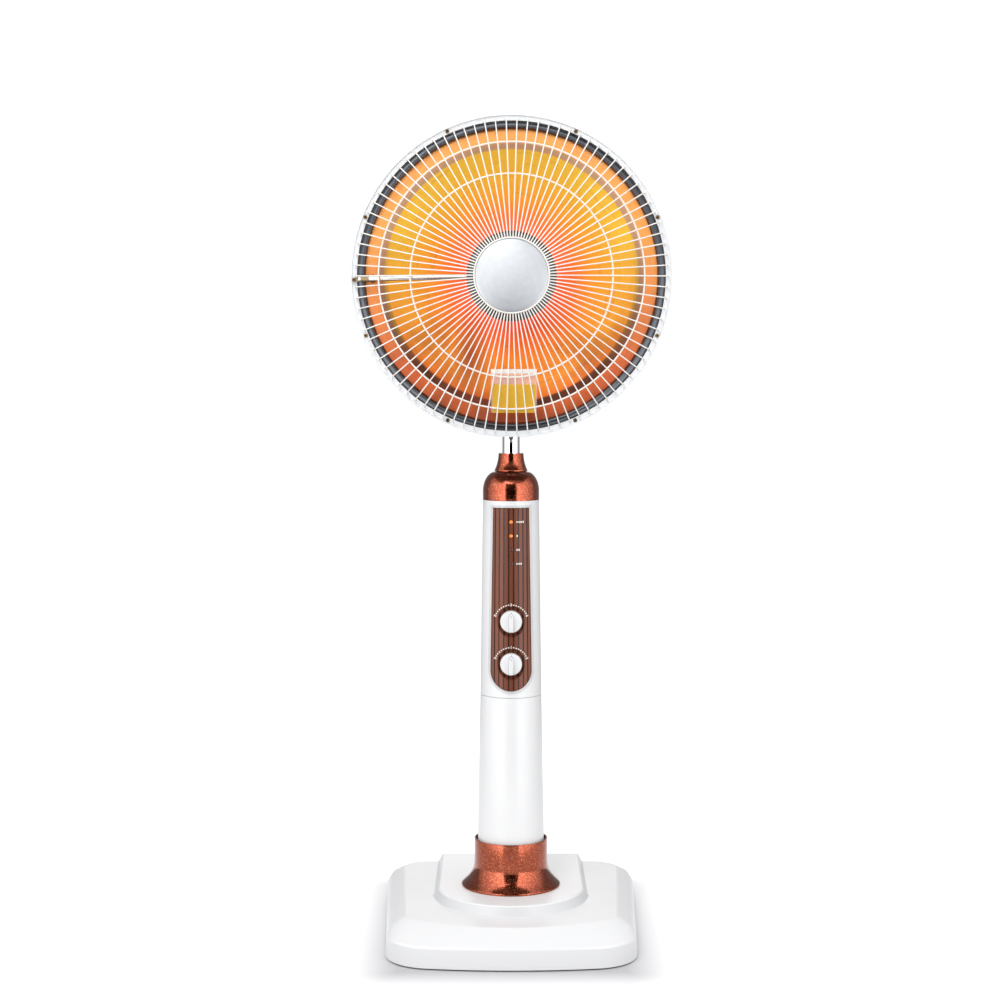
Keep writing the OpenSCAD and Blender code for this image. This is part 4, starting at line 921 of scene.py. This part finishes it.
knobLook = {"radius": 0.0154, "front": 0.0148, "deep": 0.0105, "sunk": 0.0046, "wellR": 0.00305,
            "well": 0.0095, "round": 0.0014, "gripHigh": 0.0065, "gripRound": 0.0011,
            "grip": ((-0.24, -0.88), (0.24, -0.88), (0.25, 0.1), (0.21, 0.56), (0, 0.92), (-0.21, 0.56),
                     (-0.25, 0.1)),
            "pointer": (0.0007, 0.0042), "pointerAt": 0.0078, "sideFrom": 0.3}


def makeKnob(name, node):
    # a round body in the dish of the dial, with a pointed grip across its face
    look, z = knobLook, middleZ(node)
    back = columnR(z) - look["sunk"]
    face = back + look["deep"]
    profile = [(0, back + look["well"]), (look["wellR"], back + look["well"]), (look["wellR"], back),
               (look["radius"], back), (look["front"], face), (0, face)]
    bm = turned(profile, steps=72, height=z, closed=False, width=look["round"], segments=4)
    standIn(bm, node, name + "Body")
    bm = bmesh.new()
    outline = bm.faces.new([bm.verts.new((x * look["radius"], -face, z + up * look["radius"]))
                            for x, up in look["grip"]])
    raised = bmesh.ops.extrude_face_region(bm, geom=[outline])["geom"]
    shift(bm, (0, -look["gripHigh"], 0), vertsOf(raised))
    bmesh.ops.recalc_face_normals(bm, faces=bm.faces)
    soft = [edge for edge in bm.edges if any(vert.co.y < -face - tiny for vert in edge.verts)]
    roundEdges(bm, look["gripRound"], 4, edges=soft)
    bm.normal_update()
    # painted shade: the grip's sides take a grey white
    for side in bm.faces:
        side.material_index = int(abs(side.normal.x) > look["sideFrom"])
    grip = newPiece(name + "Grip", bm, node)
    grip.data.materials.append(materials["white_side"])
    bm = bmesh.new()
    addPlate(bm, look["pointer"], (0, z + look["pointerAt"]))
    shift(bm, (0, -face - look["gripHigh"], 0))
    newPiece(name + "Pointer", bm, node, slot="silver_disc")


makeKnob("timer", "timer_knob")
makeKnob("selector", "selector_knob")
makeScale("timerScale", "timer_knob", ("0", "3", "6"))
makeScale("selectorScale", "selector_knob", ("0", "1", "2"))
makeLampMarks(lampHeights("lamps_lit") + lampHeights("lamps_unlit"))
makeLenses("litLenses", "lamps_lit")
makeLenses("darkLenses", "lamps_unlit")
print("lamps and printed marks made")


# pieces that keep their machined form, with the edges broken: width of the rounding, own name, own finish
softLook = {
    "lower_column": (0.0005,), "housing_front": (0.0005, "frontHousing"),
    # the bezel takes the greyer white, painted shade that draws its outline
    "housing_back": (0.0005, "backHousing"), "panel_bezel": (0.0004, None, "white_wall"),
    "control_panel": (0.0003, "ribbedPanel"), "collet_bush": (0.0003,), "swing_housing": (0.0006,),
    "swing_lid": (0.0006,), "yoke": (0.0008, "yokeFork"), "tilt_bolt": (0.0004,),
    "head_bracket": (0.0008,), "rear_cover": (0.0006,), "rod_fitting": (0.0003,),
    "cord_gland": (0.0005,), "rubber_feet": (0.0008,),
}
softening = {"merge": 2e-6, "flat": radians(0.6), "segments": 2, "angle": 28, "sharp": 50}
recessLook = {"arm": 0.62, "wide": 0.16, "depth": 0.0009, "taper": 0.75, "sides": 16, "facing": 0.99}
# rounding, the way the heads face, and how far out the heads lie that way
screwLook = {"rim_screws": (0.0004, (0, -1, 0), 0.104), "head_screws": (0.0004, (0, -1, 0), 0.0295),
             "housing_screws": (0.0003, (0, 1, 0), 0.014), "base_screws": (0.0003, (0, 0, -1), -0.0035)}


def cleanCopy(node):
    bm = bmesh.new()
    bm.from_mesh(nodes[node].data)
    bmesh.ops.remove_doubles(bm, verts=bm.verts, dist=softening["merge"])
    bmesh.ops.dissolve_limit(bm, angle_limit=softening["flat"], verts=bm.verts, edges=bm.edges)
    return bm


def softCopy(node, width):
    bm = cleanCopy(node)
    roundEdges(bm, width, softening["segments"], softening["angle"])
    return bm


def softenNode(node, width, name=None, finish=None):
    piece = standIn(softCopy(node, width), node, name, sharp=softening["sharp"], finish=finish)
    addModifier(piece, "WEIGHTED_NORMAL", keep_sharp=True)


def addRecess(bm, face):
    # a cross recess in the round top of a screw's head
    look, center, normal = recessLook, face.calc_center_median(), face.normal.copy()
    across = face.verts[0].co - center
    size, along = across.length, across.normalized()
    side, arm, wide, corners = normal.cross(along), look["arm"], look["wide"], []
    for quarter in range(4):
        turn = Matrix.Rotation(quarter * pi / 2, 3, normal)
        for x, y in ((arm, -wide), (arm, wide), (wide, wide)):
            corners.append(bm.verts.new(center + turn @ (size * (x * along + y * side))))
    inner = [bm.edges.new(pair) for pair in zip(corners, corners[1:] + corners[:1])]
    outer = face.edges[:]
    bmesh.ops.delete(bm, geom=[face], context="FACES_ONLY")
    bmesh.ops.triangle_fill(bm, use_beauty=True, edges=outer + inner, normal=normal)
    sunk = bmesh.ops.extrude_edge_only(bm, edges=inner)["geom"]
    for vert in vertsOf(sunk):
        vert.co = center + (vert.co - center) * look["taper"] - normal * look["depth"]
    bmesh.ops.contextual_create(bm, geom=[item for item in sunk if isinstance(item, bmesh.types.BMEdge)])


def makeScrews(node, width, drive, past):
    look, bm, drive = recessLook, softCopy(node, width), Vector(drive)
    bm.normal_update()
    heads = [face for face in bm.faces if len(face.verts) >= look["sides"]
             and face.normal.dot(drive) > look["facing"] and face.calc_center_median().dot(drive) > past]
    for face in heads:
        addRecess(bm, face)
    bmesh.ops.recalc_face_normals(bm, faces=bm.faces)
    standIn(bm, node, sharp=softening["sharp"])
    print(node, len(heads), "heads")


for node, look in softLook.items():
    softenNode(node, *look)
for node, look in screwLook.items():
    makeScrews(node, *look)
print("edges broken and screws cut")


# chrome pole and the bare plate
poleLook = {"radius": 0.012, "wall": 0.0012, "round": 0.0004, "around": 96}
plateLook = {"corner": 0.0016, "round": 0.0002, "pocketHalf": 0.0305, "pocketUp": 0.0335, "bar": 0.0062,
             "barThick": 0.0012, "filmThick": 0.0003, "behind": 0.0006}


def makePole():
    look, (low, high) = poleLook, (corner[2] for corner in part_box("pole"))
    outer, inner = look["radius"], look["radius"] - look["wall"]
    profile = [(inner, low), (outer, low), (outer, high), (inner, high)]
    bm = turned(profile, steps=look["around"], width=look["round"])
    standIn(bm, "pole", "chromePole")


def makePlate():
    bm = cleanCopy("guard_plate")
    corners = [edge for edge in bm.edges if edge.calc_length() < 2 * plateLook["corner"]]
    roundEdges(bm, plateLook["corner"], 6, edges=corners)
    roundEdges(bm, plateLook["round"], 2, 40)
    standIn(bm, "guard_plate")


def makePocket():
    # a clear pocket behind the plate, with a white bar along its upper edge, in the plate's own plane
    look, bm = plateLook, cleanCopy("guard_plate")
    broad = max(bm.faces, key=lambda face: (round(face.calc_area(), 7), face.normal.y))
    center, up, out = broad.calc_center_median(), Vector((0, 0, 1)), broad.normal.copy()
    bm.free()
    up = (up - up.dot(out) * out).normalized()
    tall = (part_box("guard_plate")[1][2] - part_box("guard_plate")[0][2]) / 2
    turn = Matrix((Vector((1, 0, 0)), out, up)).transposed()
    for name, low, high, thick, finish in (
            ("plateFilm", -tall, look["pocketUp"], look["filmThick"], "clear_film"),
            ("plateBar", look["pocketUp"], look["pocketUp"] + look["bar"], look["barThick"], "white_wire")):
        bm = bmesh.new()
        bmesh.ops.create_cube(bm, size=1)
        bmesh.ops.scale(bm, vec=(2 * look["pocketHalf"], thick, high - low), verts=bm.verts)
        roundEdges(bm, thick / 3, 2, 40)
        shift(bm, (0, look["behind"], (low + high) / 2))
        bmesh.ops.rotate(bm, cent=(0, 0, 0), matrix=turn, verts=bm.verts)
        shift(bm, center)
        newPiece(name, bm, "guard_plate", finish=finish)


makePole()
makePlate()
makePocket()
print("pole and plate modelled")


# camera, lamps, floor and cards
view = {"place": (-0.0147, -2.7226, 0.788), "down": 3.829, "lens": 70.13, "sensor": 36.0}
sky = {"lights": 0.78, "seen": 1.0}
# watts, place, size and the height on the column that it faces
light = {"key": (17, (-0.7, -1.6, 2.5), 1.0, 0.5), "fill": (2, (1.8, -1.4, 1.3), 1.4, 0.5),
         "front": (7, (-0.2, -1.6, 1.5), 0.8, 0.95), "back": (4, (0.5, 2.0, 2.0), 1.6, 0.5)}
floorLook = {"half": 9.0, "color": srgb(196, 196, 198), "clear": (0.15, 0.212),
             "glow": (0.0, 0.08, 0.0, 0.6)}
# bent cards that only glossy pieces see: angles from the front, radius, heights, glow at both angles
cards = {
    "darkFront": ((-21.7, 21.7), 0.34, (0.52, 0.82), (0, 0)),
    "darkLow": ((-21.7, 21.7), 0.34, (0.17, 0.5), (0, 0)),
    "brightRight": ((22.5, 106), 0.5, (0.1, 0.94), (3.9, 0.6)),
    "brightLeft": ((-106, -22.5), 0.5, (0.1, 0.94), (4.1, 0.7)),
    "dimRight": ((108, 170), 1.6, (0.0, 2.2), (0.4, 0.2)),
    "dimLeft": ((-170, -108), 1.6, (0.0, 2.2), (0.4, 0.2)),
}
ceiling = {"height": 2.6, "half": 2.2, "glow": 0.2}


def makeCamera():
    data = bpy.data.cameras.new("camera")
    data.lens = view["lens"]
    data.sensor_width = view["sensor"]
    data.sensor_fit = "HORIZONTAL"
    camera = addObject("camera", data)
    camera.location = view["place"]
    camera.rotation_euler = (radians(90 - view["down"]), 0, 0)
    scene.camera = camera


def makeLamps():
    for name, (watts, place, size, height) in light.items():
        data = bpy.data.lights.new(name, "AREA")
        data.energy = watts
        data.size = size
        lamp = addObject(name, data)
        lamp.location = place
        lamp.rotation_euler = (Vector((0, 0, height)) - Vector(place)).to_track_quat("-Z", "Y").to_euler()


def seenRays(tree):
    # 1 for rays from the eye, and for those that mirrors and glass send on
    rays = addNode(tree, "LightPath").outputs
    mirrored = compute(tree, "MAXIMUM", rays["Is Glossy Ray"], rays["Is Transmission Ray"])
    return compute(tree, "MAXIMUM", rays["Is Camera Ray"], mirrored)


def makeWorld():
    world = bpy.data.worlds.new("studio")
    world.use_nodes = True
    tree = world.node_tree
    plug(tree, tree.nodes["Background"].inputs, Color=(1, 1, 1, 1),
         Strength=remap(tree, seenRays(tree), 0.0, 1.0, sky["lights"], sky["seen"]))
    scene.world = world


def sheet(half, height=0.0):
    bm = bmesh.new()
    bmesh.ops.create_grid(bm, x_segments=1, y_segments=1, size=half)
    shift(bm, (0, 0, height))
    return bm


def makeFloor():
    floor = addObject("floor", meshFrom("floor", sheet(floorLook["half"])))
    material, tree, inputs = newMaterial(Base_Color=floorLook["color"], Roughness=0.6)
    # the paper glows where the eye sees it, more away from the base, so it goes white; the grey left round
    # the base is partly its real shadow and partly painted shadow
    place, outside = split(tree, objectPlace(tree)), []
    for axis, half in zip("XY", floorLook["clear"]):
        past = minus(tree, compute(tree, "ABSOLUTE", place[axis]), half)
        outside.append(compute(tree, "MAXIMUM", past, 0.0))
    level = remap(tree, reach(tree, *outside), *floorLook["glow"])
    plug(tree, inputs, Emission_Color=(1, 1, 1, 1),
         Emission_Strength=times(tree, seenRays(tree), level))
    floor.data.materials.append(material)


def addCard(name, bm, near, far, glow):
    # black, glowing from one level to another between two angles from the front
    material, tree, inputs = newMaterial(Base_Color=(0, 0, 0, 1), Roughness=1.0, Specular_IOR_Level=0,
                                         Emission_Color=(1, 1, 1, 1))
    turn = compute(tree, "ABSOLUTE", angleFromFront(tree, split(tree, objectPlace(tree))))
    plug(tree, inputs, Emission_Strength=remap(tree, turn, near, far, *glow))
    card = addObject(name, meshFrom(name, bm))
    card.data.materials.append(material)
    card.visible_camera = card.visible_diffuse = card.visible_shadow = False


def makeCards():
    for name, (angles, radius, heights, glow) in cards.items():
        first, last = (radians(angle) for angle in angles)
        bm = bmesh.new()
        ends = [bm.verts.new((radius * sin(first), -radius * cos(first), z)) for z in heights]
        edge = bm.edges.new(ends)
        bmesh.ops.spin(bm, geom=ends + [edge], cent=(0, 0, 0), axis=(0, 0, 1), angle=last - first, steps=16)
        near, far = sorted((abs(first), abs(last))) if first * last > 0 else (0, 1)
        addCard(name, bm, near, far, glow)
    addCard("ceiling", sheet(ceiling["half"], ceiling["height"]), 0, 1, (ceiling["glow"], ceiling["glow"]))


makeCamera()
makeLamps()
makeWorld()
makeFloor()
makeCards()
scene.view_settings.view_transform = "Standard"
print("stage set")
